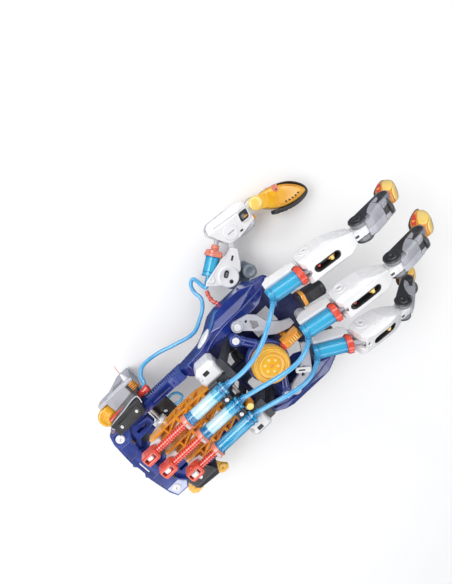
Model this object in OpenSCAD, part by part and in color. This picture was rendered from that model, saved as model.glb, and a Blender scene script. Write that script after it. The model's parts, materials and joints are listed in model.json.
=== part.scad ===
// Wearable hydraulic hand kit: a forearm frame with three finger channels
// and one thumb channel. Frame axes: X runs forward along the arm towards
// the fingertips, Y points to the thumb side, Z points up (back of hand).
// The origin is on the centre plane, level with the underside of the rails,
// at the rear end of the rails.

/* [Frame] */
// Distance from the centre plane to the inner face of each rail
rail_in = 45.5; // [44:0.5:46]
// Thickness of each rail
rail_w = 11.5; // [10:0.5:12]
// Height of each rail
rail_h = 22; // [20:1:22]
// Length of each rail from the rear end to the wing
rail_len = 112; // [112:1:112]
// Pitch of the rack teeth along the rails
rack_pitch = 3; // [2.5:0.5:4]
// Depth of the rack teeth
rack_depth = 2.2; // [1:0.1:2.2]
// Height of the top face of the palm plate
palm_top = 20; // [20:1:20]
// Thickness of the palm plate
palm_th = 8; // [6:1:10]

/* [Finger channels] */
// Sideways distance between two neighbouring push-rod channels
pitch_y = 24; // [23:0.5:25]
// Height of the master cylinder axes
master_z = 70; // [70:1:70]
// Outside radius of a master cylinder
master_r = 7; // [6.8:0.1:7.2]
// Inside radius of a master cylinder
master_bore = 5.6; // [5:0.1:5.8]
// Outside radius of a slave cylinder
slave_r = 8.8; // [8.4:0.1:8.8]
// Inside radius of a slave cylinder
slave_bore = 7.4; // [6:0.1:7.6]
// Radius of the ribbed push rods
rod_r = 4.2; // [3:0.1:4.4]
// Running clearance on each pin and piston
run = 0.06; // [0.03:0.01:0.1]
// Outside radius of the hoses
hose_r = 2.5; // [2:0.1:2.8]

/* [Fingers] */
// Length of a finger's white shell between its two hinges
shell_len = 64; // [60:1:68]
// Length of the thumb's white shell between its two hinges
thumb_len = 48; // [46:1:52]
// Length of the middle link between its two hinges
link_len = 42; // [40:1:46]
// Half width of a finger shell at its base
shell_hw = 16.5; // [14:0.5:17]

/* [Rest pose] */
// Flexion of the index, middle and ring finger at rest, in degrees
flex = [0, 3, 24]; // [0:1:45]
// Flexion of the thumb at rest, in degrees
flex_thumb = 36; // [0:1:45]
// Bend of the index, middle and ring finger at the first knuckle
bend1 = [16, 13, 31]; // [0:1:70]
// Bend of the index, middle and ring finger at the last knuckle
bend2 = [35, 35, 13]; // [0:1:60]
// Bend of the thumb at its tip hinge
bend_thumb = 18; // [0:1:60]

/* [Hidden] */

$fn = 48;

// Fits shared by many parts.
overlap = 0.01;   // sinks one body into the next
seat_gap = 0.03;  // between parts that rest on each other
shaft_r = 2.5;
screw_r = 1.6;
hinge_pin_r = 2;

// Fastener places on the thumb side (x, y); each has a mirror image.
rail_screw = [7.5, 46.8];
wing_screw = [195, 53];
mount_post = [183.5, 45.5];
rear_top = rail_h + 5;
post_top = 48;
arm_top = 40;
knob_at = [194, 0];

// Fingers, used as indices into the lists below.
index = 0;
middle = 1;
ring = 2;
channel_y = [pitch_y, 0, -pitch_y];

// Finger frames: hinge point, turn about Z, roll about X, upward pitch.
finger_origin = [[302, 54.5, 50], [304, 0, 59], [294, -52, 47]];
finger_yaw = [-5, -3, -23];
finger_roll = [14, 18, 25];
finger_pitch = [6, 10, 10];
thumb_origin = [265, 128, -31];
thumb_yaw = 34;
thumb_dip = 6;
shell_rest_deg = 3;  // angle of a shell in its frame at no flexion
stroke_deg = 45;     // full flexion
pin_z = 12;          // height of a slave cylinder axis above its hinge
hinge_rise = 8;      // height of a shell's second hinge above its first

// Motion of each channel. A swing is the angle or distance to either side
// of the middle; a rate is the motion per degree of flexion.
slave_start = -pin_z * tan(stroke_deg / 2);
slave_rate = -2 * slave_start / stroke_deg;
plunger_stroke = 36;
plunger_rate = plunger_stroke / stroke_deg;
lever_x = 52.5;
lever_z = 16;
lever_swing = atan(plunger_stroke / 2 / (master_z - lever_z));
lever_rate = 2 * lever_swing / stroke_deg;
truss_z = 45;
truss_swing = (truss_z - lever_z) * tan(lever_swing);
truss_rate = 2 * truss_swing / stroke_deg;
loop_lever_x = 140;
loop_lever_z = 12;
loop_lever_swing = atan(truss_swing / (truss_z - loop_lever_z));
loop_lever_rate = 2 * loop_lever_swing / stroke_deg;

// ---- helpers -------------------------------------------------------------
module finger_frame(finger) {
  translate(finger_origin[finger]) rotate([0, 0, finger_yaw[finger]])
    rotate([finger_roll[finger], 0, 0]) rotate([0, -finger_pitch[finger], 0])
    children();
}
// Local Z points outwards to the thumb side, local Y points down.
module thumb_frame() {
  translate(thumb_origin) rotate([0, thumb_dip, 0]) rotate([0, 0, thumb_yaw])
    rotate([-90, 0, 0]) children();
}

// The same turns for directions and points.
function turn_x(angle, v) =
  [v.x, cos(angle) * v.y - sin(angle) * v.z, sin(angle) * v.y + cos(angle) * v.z];
function turn_y(angle, v) =
  [cos(angle) * v.x + sin(angle) * v.z, v.y, -sin(angle) * v.x + cos(angle) * v.z];
function turn_z(angle, v) =
  [cos(angle) * v.x - sin(angle) * v.y, sin(angle) * v.x + cos(angle) * v.y, v.z];
function finger_dir(finger, v) =
  turn_z(finger_yaw[finger],
         turn_x(finger_roll[finger], turn_y(-finger_pitch[finger], v)));
function finger_point(finger, v) = finger_origin[finger] + finger_dir(finger, v);
function thumb_dir(v) = turn_y(thumb_dip, turn_z(thumb_yaw, turn_x(-90, v)));
function thumb_point(v) = thumb_origin + thumb_dir(v);

// The children and their mirror image across the centre plane.
module both_sides() {
  for (s = [0, 1]) mirror([0, s, 0]) children();
}
module box(low, high) {
  translate(low) cube(high - low);
}
// Cylinder along X between two x positions.
module x_rod(radius, from, to, y = 0, z = 0) {
  translate([from, y, z]) rotate([0, 90, 0]) cylinder(r = radius, h = to - from);
}
// Cylinder along Y, centred on y = 0.
module y_rod(radius, length, x = 0, z = 0) {
  translate([x, 0, z]) rotate([90, 0, 0])
    cylinder(r = radius, h = length, center = true);
}
// Cylinder along Y between two y positions.
module y_rod_span(radius, from, to, x = 0, z = 0) {
  translate([x, to, z]) rotate([90, 0, 0]) cylinder(r = radius, h = to - from);
}
// Cylinder along Z between two heights, standing at (x, y).
module z_rod(radius, from, to, at = [0, 0]) {
  translate([at.x, at.y, from]) cylinder(r = radius, h = to - from);
}
// Side outline (x, z) given width along Y.
module side_slab(outline, from, to) {
  translate([0, to, 0]) rotate([90, 0, 0]) linear_extrude(height = to - from)
    polygon(outline);
}
// Top outline (x, y) given height along Z.
module top_slab(outline, from, to) {
  translate([0, 0, from]) linear_extrude(height = to - from) polygon(outline);
}
// Cross outline (y, z) given length along X.
module cross_slab(outline, from, to) {
  translate([from, 0, 0]) rotate([90, 0, 90]) linear_extrude(height = to - from)
    polygon(outline);
}
// Cutter for a slot with round ends, running up Z and open along Y.
module radial_slot(radius, width, low, high) {
  for (z = [low, high]) y_rod(radius, width, 0, z);
  box([-radius, -width / 2, low], [radius, width / 2, high]);
}

// ---- frame -------------------------------------------------------------
// Outlines (x, y) of the upper deck and of the part between the rails.
rear_deck = [[-8, 10], [-6, 14], [-3, 46], [1, 57], [18, 57.2], [24, 50],
  [17, 40], [12, 22], [12, -22], [17, -40], [24, -50], [18, -57.2],
  [1, -57], [-3, -46], [-6, -14], [-8, -10], [-5, -6], [-5, 6]];
rear_web = [[-3, 45.4], [-6, 14], [-6, -14], [-3, -45.4], [24, -45.4],
  [46, -42], [46, -31], [22, -28], [12, -18], [12, 18], [22, 28],
  [46, 31], [46, 42], [24, 45.4]];
module rear_plate() {
  color("#1b2a8a") difference() {
    union() {
      top_slab(rear_deck, rail_h, rear_top);
      top_slab(rear_web, 12, rail_h);
      z_rod(6, 0, 13);
    }
    z_rod(2.1, -1, 9);
    both_sides() {
      box([24, 34, 10], [40, 38, 30]);
      z_rod(screw_r, 0, 60, rail_screw);
      z_rod(2.1, 0, 60, [2, 24]);
    }
    box([-1, -9, 16], [1, 9, 30]);
  }
}

// Corners of one tooth: x at a pitch of 3, share of the tooth depth.
rack_tooth = [[0, 0], [0.5, 1], [1.7, 1], [2.2, 0]];
module rack(teeth, root_y) {
  length = teeth * rack_pitch;
  linear_extrude(height = 6) polygon(concat(
    [for (k = [0 : teeth - 1], corner = rack_tooth)
      [k * rack_pitch + corner.x * rack_pitch / 3, root_y + corner.y * rack_depth]],
    [[length, root_y], [length, root_y - 1], [0, root_y - 1]]));
}
module rail() {
  rail_out = rail_in + rail_w;
  ramp_z = rail_h - overlap;
  difference() {
    union() {
      box([0, rail_in, 0], [rail_len, rail_out, rail_h]);
      translate([2, 0, 8]) rack(floor((rail_len - 10) / rack_pitch), rail_out);
      // raised front end
      side_slab([[rail_len - 20, ramp_z], [rail_len, ramp_z], [rail_len, 26],
                 [rail_len - 12, 25]], rail_in, rail_out);
    }
    // lengthwise grooves on the inner and upper faces
    box([66, rail_in - 1, 12], [104, rail_in + 2, 18]);
    box([62, rail_in + 3.5, rail_h - 2], [90, rail_out - 3.5, rail_h + 1]);
    // shaft seat and screw holes
    y_rod_span(shaft_r + run, rail_in - 1, rail_in + 6, lever_x, lever_z);
    z_rod(screw_r, 4, 44, rail_screw);
    for (x = [20, 84]) z_rod(screw_r, -1, 8, [x, rail_in + rail_w / 2]);
  }
}
module rails() {
  color("#1c2f9c") both_sides() rail();
}

// Outlines of a wing: top (x, y), side (x, z) and cross (y, z).
wing_top = [[112, 45.5], [112, 57], [129, 58], [146, 59.5], [159, 63.5],
  [172, 69.5], [186, 76.5], [203, 78.5], [226, 77.5], [237, 74.5],
  [258, 70.5], [261, 66], [250, 62], [240, 56], [232, 52], [150, 52],
  [150, 40], [128, 38], [118, 41]];
wing_side = [[112, 2], [112, 22], [118, 27], [124, 30], [160, 30],
  [180, 34], [210, 34], [226, 31], [240, 26], [258, 18], [261, 14],
  [250, 6], [240, -2], [234, -20], [222, -32], [196, -32], [170, -22],
  [155, -8], [140, 0]];
wing_cross = [[38, -40], [38, 36], [62, 36], [73, 28], [79, 14],
  [76.5, -8], [66, -34], [60, -40]];
// The same three outlines for its hollow.
hollow_top = [[156, 56], [162, 59.5], [174, 65.5], [187, 72], [203, 74],
  [225, 73], [234, 70.5], [240, 66], [234, 56]];
hollow_side = [[160, -60], [160, 24], [182, 28.5], [209, 28.5], [225, 26],
  [236, 21], [236, -60]];
hollow_cross = [[56, -60], [56, 30], [59, 30], [69, 24], [74, 13],
  [71.5, -8], [61, -33], [61, -60]];
module wing() {
  difference() {
    intersection() {
      top_slab(wing_top, -40, 40);
      side_slab(wing_side, 30, 90);
      cross_slab(wing_cross, 100, 270);
    }
    // hollow, open underneath
    intersection() {
      top_slab(hollow_top, -60, 40);
      side_slab(hollow_side, 30, 90);
      cross_slab(hollow_cross, 150, 250);
    }
    // shaft seat
    y_rod_span(shaft_r + run, 30, 46, loop_lever_x, loop_lever_z);
    z_rod(screw_r, 20, 40, wing_screw);
  }
}
module wing_left() {
  color("#20309e") wing();
}
module wing_right() {
  color("#20309e") mirror([0, 1, 0]) wing();
}

palm_outline = [[150, -51.95], [232, -51.95], [258, -46], [266, -40],
  [268, 0], [268, 50], [262, 62], [248, 61], [240, 55.9],
  [232, 51.95], [150, 51.95]];
module palm_plate() {
  color("#141b52") difference() {
    union() {
      top_slab(palm_outline, palm_top - palm_th, palm_top);
      // rib along the centre
      box([152, -8, 8], [262, 8, palm_top]);
    }
    both_sides() {
      // windows
      box([156, 10, 0], [176, 34, 30]);
      box([204, 16, 0], [236, 42, 30]);
      // keep clear of the wing
      top_slab([[230, 52], [240, 56], [250, 62], [261, 66], [262, 90],
                [230, 90]], 0, 40);
    }
  }
}

module cylinder_bridge() {
  color("#2b2d31") difference() {
    union() {
      box([128, -30.8, 52], [142, 30.8, 60]);
      for (y = channel_y) box([128, y - 9, 60], [140, y + 9, 68]);
      both_sides() {
        box([128, 20, 52], [160, 30.8, 60]);
        box([152.3, 20, 52], [160, 46, 60]);
        // sloping leg down to the palm plate
        side_slab([[152.3, 60], [160, 60], [176, palm_top], [166, palm_top],
                   [152.3, 53]], 37, 43);
      }
    }
    // saddles of the master cylinders
    for (y = channel_y) x_rod(master_r + seat_gap, 100, 160, y, master_z);
  }
}

module corner_blocks() {
  color("#e9e9ee") both_sides() difference() {
    intersection() {
      box([124, 31, 30 + seat_gap], [152, 54, 60]);
      side_slab([[124, 30], [124, 54], [129, 60], [148, 60], [152, 56],
                 [152, 30]], 30, 60);
      cross_slab([[31, 30], [31, 56], [35, 60], [49, 60], [54, 55],
                  [54, 30]], 120, 155);
      top_slab([[124, 36], [128, 31], [148, 31], [152, 35], [152, 50],
                [148, 54], [130, 54], [124, 48]], 20, 70);
    }
    box([122, 40, 50], [130, 45, 61]);
  }
}

// Dark block that stands between the index and middle knuckles.
module palm_block() {
  centre = [281, 24, 41];
  color("#2f3033") translate(centre) rotate([0, 0, -12]) {
    difference() {
      intersection() {
        box([-16, -8.5, -7], [16, 8.5, 9]);
        cross_slab([[-8.5, -7], [-8.5, 5], [-5, 9], [5, 9], [8.5, 5],
                    [8.5, -7]], -20, 20);
        side_slab([[-16, -7], [-16, 6], [-13, 9], [12, 9], [16, 5],
                   [16, -7]], -9, 9);
      }
      box([-11, -9, 8.2], [-9.6, 9, 10]);
    }
    // leg down to the palm plate
    box([-14, -4, palm_top + seat_gap - centre.z], [-4, 4, -7]);
  }
}

module cross_shafts() {
  color("#c9ccd2") {
    y_rod(shaft_r, 2 * (rail_in + 5), lever_x, lever_z);
    y_rod(shaft_r, 90, loop_lever_x, loop_lever_z);
  }
}

// Stepped screw head with a slot.
module screw_cap(at, base_z) {
  translate([at.x, at.y, base_z]) difference() {
    union() {
      z_rod(4.2, 0, 1.4);
      z_rod(3.2, 0, 2.4);
    }
    box([-0.5, -2, 1.6], [0.5, 2, 3.6]);
  }
}
module screw_caps() {
  color("#f2f2f4") both_sides() {
    screw_cap(rail_screw, rear_top);
    screw_cap(wing_screw, arm_top);
    screw_cap(mount_post, post_top);
  }
}

// Outlines (x, y) of the two arms, both drawn on the thumb side.
left_arm = [[195, 59.8], [203, 58], [213, 55.5], [220, 48], [224, 34],
  [236, 22], [246, 17], [246, 10], [238, 9], [222, 14.5],
  [214, 21], [213, 29], [207, 34], [201, 41], [195, 46.2]];
right_arm = [[195, 59.8], [203, 57], [216, 56], [226, 47], [238, 28],
  [240, 17], [235, 14], [226, 30], [216, 36], [208, 43], [195, 46.2]];
// Flat arm on a round boss; the children are cut out of it.
module side_arm(outline) {
  difference() {
    union() {
      z_rod(6.8, 34, arm_top, wing_screw);
      top_slab(outline, 34.5, 39);
    }
    children();
    z_rod(screw_r, 30, 50, wing_screw);
  }
}
// Flat arms bolted on the wings, reaching round the knob.
module side_links() {
  color("#c9cbd2") {
    side_arm(left_arm) {
      top_slab([[206, 38], [210, 49], [216, 42], [214, 36]], 30, 50);
      z_rod(screw_r, 30, 50, [206.5, 50.5]);
    }
    mirror([0, 1, 0]) side_arm(right_arm) {
      z_rod(2.2, 30, 50, [219, 40]);
      z_rod(2.2, 30, 50, [213, 46]);
    }
  }
}

module knob_mount() {
  color("#1a2680") difference() {
    union() {
      z_rod(25, 38, 46.5, knob_at);
      // post on the palm plate and its arm in to the dish
      both_sides() {
        z_rod(6.2, palm_top, post_top, mount_post);
        translate([mount_post.x, mount_post.y, 41.6]) rotate([0, 90, -58.7])
          cylinder(r = 5.4, h = 27);
      }
    }
    z_rod(20.3, 41, 51, knob_at);
    z_rod(4 + run, 30, 50, knob_at);
    for (a = [30 : 60 : 330]) translate([knob_at.x, 0, 0]) rotate([0, 0, a])
      z_rod(3.6, 30, 50, [12, 0]);
  }
}
module palm_knob() {
  color("#f5b41e") difference() {
    union() {
      z_rod(19.9, 41.4, 49.4, knob_at);
      z_rod(21.6, 47, 59.4, knob_at);
      z_rod(20.2, 59, 61, knob_at);
      z_rod(4, 34, 44, knob_at);
    }
    z_rod(15.4, 59.6, 62.6, knob_at);
  }
}

module amber_fittings() {
  color("#f39a1c") {
    // reservoir bar beside the knob
    difference() {
      union() {
        intersection() {
          box([219.6, -2.5, 40], [243, 8.5, 55]);
          side_slab([[219.6, 40], [219.6, 52], [223, 55], [240, 55],
                     [243, 51], [243, 40]], -5, 15);
          cross_slab([[-2.5, 40], [-2.5, 52], [0, 55], [6, 55], [8.5, 52],
                      [8.5, 40]], 210, 250);
        }
        box([216.4, 0, 47], [222, 6.5, 53.6]);
        z_rod(4, palm_top, palm_top + 21, [228, 5]);
      }
      box([226, 0.5, 52.5], [238, 5.5, 56]);
    }
    // tension pin on the bridge
    pin_at = [147, -13];
    z_rod(4, 60, 70, pin_at);
    for (z = [63, 66]) z_rod(4.8, z, z + 1.5, pin_at);
    box([142, -17, 53], [152, -9, 60]);
  }
}

// ---- master side ---------------------------------------------------------
master_nozzle_x = 148;
module master_barrels() {
  color("#12a5dc") for (y = channel_y) translate([0, y, master_z]) difference() {
    union() {
      x_rod(master_r, 91, 139);
      x_rod(master_r + 0.9, 140.1, 143);
      x_rod(5, 139, 141);
      x_rod(3.2, 143, master_nozzle_x);
    }
    x_rod(master_bore, 90, 137);
    x_rod(1.2, 130, 147);
  }
}
module master_collars() {
  color("#e8776a") for (y = channel_y) translate([0, y, master_z]) difference() {
    union() {
      x_rod(8.6, 85.5, 91);
      box([86.5, -3.5, 6], [90, 3.5, 10.5]);
    }
    x_rod(rod_r + run, 80, 95);
  }
}
// Clevis, ribbed rod and piston, measured from the clevis pin.
module master_plunger(finger) {
  pin_x = lever_x - plunger_stroke / 2 + plunger_rate * flex[finger];
  piston_x = 58.6;
  color("#e2492f") translate([pin_x, channel_y[finger], master_z]) {
    difference() {
      union() {
        // clevis block with a top to bottom window
        intersection() {
          box([-8.8, -6.4, -6], [9.6, 6.4, 6]);
          side_slab([[-8.8, -3.5], [-6.5, -6], [9.6, -6], [9.6, 6],
                     [-6.5, 6], [-8.8, 3.5]], -8, 8);
          top_slab([[-8.8, -4.4], [-7, -6.4], [7, -6.4], [9.6, -5],
                    [9.6, 5], [7, 6.4], [-7, 6.4], [-8.8, 4.4]], -8, 8);
        }
        x_rod(rod_r, 9, piston_x);
        x_rod(3, 58, 65);
      }
      box([-6.3, -2.8, -8], [6.3, 2.8, 8]);
      // grooves between the ribs of the rod
      for (k = [0 : 14]) difference() {
        x_rod(rod_r + 1, 12 + k * 3, 13.4 + k * 3);
        x_rod(3.4, 11 + k * 3, 14 + k * 3);
      }
    }
    y_rod(2, 10);
    // piston with a groove round it
    difference() {
      x_rod(master_bore - run, piston_x, piston_x + 6);
      x_rod(3.9, 60.4, 62.4);
    }
    x_rod(4, 60.2, 62.6);
  }
}

lever_hw = 2.3;      // half thickness of the lever blades
lever_hub_w = 9;
fork_hw = 2.8;       // half width of the truss forks
lever_slot_r = 2.45;
module push_lever(finger) {
  angle = -lever_swing + lever_rate * flex[finger];
  color("#e7e8ec") translate([lever_x, channel_y[finger], lever_z])
    rotate([0, angle, 0]) difference() {
      union() {
        y_rod(6.5, lever_hub_w);
        side_slab([[-6, 2], [-5.5, 38], [-3.7, 48], [-3.7, 60], [-2.5, 61.4],
                   [2.5, 61.4], [3.7, 60], [3.7, 48], [5.5, 38], [6, 2]],
                  -lever_hw, lever_hw);
        // horn ahead of the head
        side_slab([[0, 41.4], [12, 42.6], [13.6, 44.6], [10, 46.4],
                   [0, 46.4]], -4.4, 4.4);
        // web behind the blade
        side_slab([[-3, 3], [-10, 20], [-5, 34], [-5, 8]], -lever_hw, lever_hw);
      }
      y_rod(shaft_r + run, 20);
      // slots for the plunger pin and the truss pin
      radial_slot(lever_slot_r, 10, 53.6, 57.6);
      radial_slot(lever_slot_r, 10, 28.6, 31);
    }
}
// Lattice bar that joins the two levers of a channel.
module truss(finger) {
  shift = -truss_swing + truss_rate * flex[finger];
  color("#f5a326") translate([shift, channel_y[finger], 0]) {
    difference() {
      side_slab([[47, 39], [47, 50], [52, 51], [146, 51], [146, 40],
                 [128, 34], [118, 30], [84, 30], [66, 36]], -5.5, 5.5);
      // fork gaps for the levers
      box([40, -fork_hw, 20], [67, fork_hw, 60]);
      box([127, -fork_hw, 20], [150, fork_hw, 60]);
      // triangular lightening holes, seen from the side
      for (k = [0 : 2]) side_slab([[70 + k * 18, 48], [85 + k * 18, 48],
        [85 + k * 18, 36 - (k > 0 ? 3 : 0)]], -10, 10);
      for (k = [0 : 1]) side_slab([[86.6 + k * 18, 32.4], [86.6 + k * 18, 45],
        [99 + k * 18, 32.4]], -10, 10);
      // triangular holes, seen from above
      for (k = [0 : 2]) {
        top_slab([[69 + k * 19, -4], [84.6 + k * 19, -4],
                  [84.6 + k * 19, 3.2]], 20, 60);
        top_slab([[69 + k * 19, -2], [69 + k * 19, 4], [82 + k * 19, 4]],
                 20, 60);
      }
    }
    for (x = [lever_x, loop_lever_x]) y_rod(2, 9, x, truss_z);
  }
}
// Front lever, with a finger loop at its lower end.
module loop_lever(finger) {
  angle = -loop_lever_swing + loop_lever_rate * flex[finger];
  loop_z = -42;
  color("#3a3c42") translate([loop_lever_x, channel_y[finger], loop_lever_z])
    rotate([0, angle, 0]) difference() {
      union() {
        y_rod(6, lever_hub_w);
        side_slab([[-4.6, 0], [-4.6, 36], [-2.5, 38], [2.5, 38], [4.6, 36],
                   [4.6, 0]], -lever_hw, lever_hw);
        side_slab([[-5, 2], [5, 2], [20, -30], [14, -34], [6, -30]],
                  -lever_hw, lever_hw);
        x_rod(11, 12.5, 21.5, 0, loop_z);
      }
      y_rod(shaft_r + run, 20);
      radial_slot(lever_slot_r, 10, 33, 34.4);
      x_rod(8.6, 7, 27, 0, loop_z);
    }
}

// ---- slave side ----------------------------------------------------------
// Hose nozzle of a finger's slave cylinder, leaning to the rear.
nozzle_foot = [-54, 0, pin_z];
nozzle_len = 14;
nozzle_lean = 18;
nozzle_dir = [-sin(nozzle_lean), 0, cos(nozzle_lean)];
module slave_barrels() {
  color("#14a8de") for (i = [0 : 2]) finger_frame(i) difference() {
    union() {
      x_rod(slave_r, -59, -21, 0, pin_z);
      translate(nozzle_foot) rotate([0, -nozzle_lean, 0])
        cylinder(r = 3.4, h = nozzle_len);
    }
    x_rod(slave_bore, -57, -20, 0, pin_z);
  }
}
module slave_cap() {
  translate([0, 0, pin_z]) difference() {
    union() {
      x_rod(9.8, -21, -14);
      for (a = [20 : 60 : 320]) rotate([a, 0, 0])
        box([-20.3, -2.1, 7], [-14.7, 2.1, 11.2]);
    }
    x_rod(3 + run, -30, 0);
  }
}
module slave_caps() {
  color("#e4503c") for (i = [0 : 2]) finger_frame(i) slave_cap();
}
// Rod, rod end with its cross pin, and piston.
module slave_plunger(flexion) {
  translate([slave_start + slave_rate * flexion, 0, pin_z]) {
    x_rod(3, -44, 0);
    y_rod(3.4, 8);
    y_rod(1.5, 22);
    x_rod(slave_bore - run, -49, -43);
  }
}
module finger_slave_plunger(finger) {
  color("#d9dbe0") finger_frame(finger) slave_plunger(flex[finger]);
}

module knuckle_body() {
  difference() {
    union() {
      // cradle under the barrel
      side_slab([[-57, -3], [-50, -8], [-24, -8], [-15, -4], [-15, 7],
                 [-57, 7]], -11, 11);
      // tongue with the hinge boss
      y_rod(6.4, 10);
      side_slab([[-16, -6], [0, -6.4], [0, 6.4], [-16, 4]], -5, 5);
    }
    x_rod(slave_r + seat_gap, -80, -14.5, 0, pin_z);
    // room for the cap
    x_rod(12, -21.5, -7.5, 0, pin_z);
    // leave the end of the cradle clear of the shell
    y_rod(13.2, 30);
  }
  // the part of the tongue that stays inside that clearance
  y_rod(6.4, 10);
  side_slab([[-16, -6], [0, -6.4], [0, 5], [-14, 0.4], [-16, 0.4]], -5, 5);
  y_rod(hinge_pin_r, 27);
}
module knuckles() {
  color("#e3e4e9") for (i = [0 : 2]) {
    finger_frame(i) knuckle_body();
    // upright post on the palm plate, notched at the foot on the thumb side
    intersection() {
      difference() {
        translate(finger_point(i, [-46, 0, -3]) - [0, 0, 60])
          cylinder(r = 7.5, h = 60);
        finger_frame(i) x_rod(slave_r + seat_gap, -80, -10, 0, pin_z);
      }
      difference() {
        box([200, -90, palm_top], [300, 90, 100]);
        box([246, 60.5, 10], [254.4, 90, 22.4]);
      }
    }
  }
}

// White shell, hinge at the origin, next hinge at (length, 0, hinge_rise).
// profile is its side outline (x, z), window the x range of its top window.
module shell(length, half_w, profile, top_z, window, notch_x) {
  stretch = length / 64;
  nose_x = length - 12;
  difference() {
    union() {
      difference() {
        intersection() {
          side_slab(profile, -20, 20);
          top_slab([[-26, -half_w + 1], [-3, -half_w], [24 * stretch, -half_w],
                    [40 * stretch, -half_w + 4], [nose_x - 1, -8.5],
                    [nose_x, -8.5], [nose_x, 8.5], [nose_x - 1, 8.5],
                    [40 * stretch, half_w - 4], [24 * stretch, half_w],
                    [-3, half_w], [-26, half_w - 1]], -20, 40);
          cross_slab([[-half_w, -20], [-half_w, 12], [-half_w + 3, 18],
                      [-half_w + 6.5, top_z], [half_w - 6.5, top_z],
                      [half_w - 3, 18], [half_w, 12], [half_w, -20]], -30, 80);
        }
        // space for the knuckle tongue and the rod end
        y_rod(17.6, 11.4);
        box([-26, -5.7, -12], [0, 5.7, 17.6]);
        // long window in the top face
        box([window[0], -4.2, 5], [window[1], 4.2, 40]);
        for (x = window) z_rod(4.2, 5, 45, [x, 0]);
        // small notch near the base
        box([notch_x - 1.3, -2.6, 16.5], [notch_x + 1.3, 2.6, 40]);
      }
      // tongue of the next hinge
      y_rod(9, 10.8, length, hinge_rise);
      side_slab([[length - 14, 2], [length - 1, -1], [length - 1, 17],
                 [length - 14, 15]], -5.4, 5.4);
    }
    // hinge bores
    y_rod(hinge_pin_r + run, 60);
    y_rod(hinge_pin_r + run, 60, length, hinge_rise);
    // slot for the rod pin
    rotate([0, -(shell_rest_deg + stroke_deg / 2), 0])
      radial_slot(1.85, 23.4, 11.8, 13.2);
  }
}

// Nested frames of a finger's three moving parts.
module in_shell(finger) {
  finger_frame(finger) rotate([0, shell_rest_deg + flex[finger], 0]) children();
}
module in_link(finger) {
  in_shell(finger) translate([shell_len, 0, hinge_rise])
    rotate([0, bend1[finger], 0]) children();
}
module in_tip(finger) {
  in_link(finger) translate([link_len, 0, 0]) rotate([0, bend2[finger], 0])
    children();
}

finger_profile = [[-12, -5], [-13.4, 4], [-13, 14], [-9, 19], [4, 21],
  [28, 20.6], [44, 18.4], [shell_len - 12.5, 16.6], [shell_len - 12.5, 1],
  [40, -3], [24, -6], [6, -8], [-3, -7.5]];
// Top window (x range) and notch place of each finger.
finger_windows = [[1.2, 24.2], [1.3, 30.7], [6, 32.6]];
finger_notches = [-8.6, -7.8, -5.2];
module finger_shell(finger) {
  color("#f1f1f4") in_shell(finger)
    shell(shell_len, shell_hw, finger_profile, 21, finger_windows[finger],
          finger_notches[finger]);
}

module finger_link(finger) {
  cheek_in = 5.9;
  cheek_out = 12.3;
  color("#9a9ba3") in_link(finger) {
    difference() {
      union() {
        both_sides() {
          y_rod_span(9, cheek_in, cheek_out);
          y_rod_span(7.5, cheek_in, cheek_out, link_len);
          side_slab([[0, 9], [link_len, 7.5], [link_len, -7.5], [0, -9]],
                    cheek_in, cheek_out);
        }
        // core between the cheeks
        side_slab([[12, -7], [12, 9.6], [32.5, 8.4], [32.5, -6]], -6, 6);
        // raised top panel
        side_slab([[4, 8], [8, 10.4], [32, 9.4], [36, 7.4]], -11.4, 11.4);
      }
      // shallow round recess in each cheek
      both_sides() y_rod_span(4.2, cheek_out - 0.8, cheek_out + 0.8);
      // clear the tongue of the shell
      y_rod(9.9, 11.6);
      // window in the top panel
      box([24, -3, 4], [34, 3, 20]);
    }
    for (x = [0, link_len]) y_rod(hinge_pin_r, 12, x);
  }
}

module finger_tip(finger) {
  color("#f6c33a") in_tip(finger) difference() {
    union() {
      y_rod(7, 10.6);
      side_slab([[0, -6.5], [0, 6.5], [12, 7.5], [12, -7.5]], -5.3, 5.3);
      intersection() {
        side_slab([[9.5, -7], [9.5, 8], [18, 11.5], [30, 10], [42, 3.5],
                   [47, -3.5], [44, -6], [30, -9], [16, -9.5]], -10, 10);
        top_slab([[9, -9.5], [28, -9.5], [40, -7.5], [48, -4], [48, 4],
                  [40, 7.5], [28, 9.5], [9, 9.5]], -15, 15);
        cross_slab([[-9.5, -12], [-9.5, 4], [-6.5, 12], [6.5, 12],
                    [9.5, 4], [9.5, -12]], 0, 60);
      }
    }
    y_rod(hinge_pin_r + run, 30);
  }
}

// ---- hoses ---------------------------------------------------------------
function unit(v) = v / norm(v);
// Octagonal tube along a list of points. The end directions are given;
// reference fixes how the octagons are turned.
module hose(path, start_dir, end_dir, reference) {
  last = len(path) - 1;
  sides = 8;
  along = [for (k = [0 : last])
    unit(k == 0 ? start_dir : k == last ? end_dir : path[k + 1] - path[k - 1])];
  across = [for (dir = along) unit(cross(dir, reference))];
  upward = [for (k = [0 : last]) cross(along[k], across[k])];
  polyhedron(
    points = [for (k = [0 : last], j = [0 : sides - 1])
      let (a = j * 360 / sides)
      path[k] + hose_r * (cos(a) * across[k] + sin(a) * upward[k])],
    faces = concat(
      [[for (j = [0 : sides - 1]) j]],
      [[for (j = [sides - 1 : -1 : 0]) last * sides + j]],
      [for (k = [0 : last - 1], j = [0 : sides - 1])
        let (here = k * sides, ahead = here + sides, next = (j + 1) % sides)
        each [[here + j, ahead + j, here + next],
              [here + next, ahead + j, ahead + next]]]));
}
// Point on a cubic Bezier curve with four control points.
function bezier(ctrl, t) = let (rest = 1 - t)
  rest * rest * rest * ctrl[0] + 3 * rest * rest * t * ctrl[1]
  + 3 * rest * t * t * ctrl[2] + t * t * t * ctrl[3];
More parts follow.
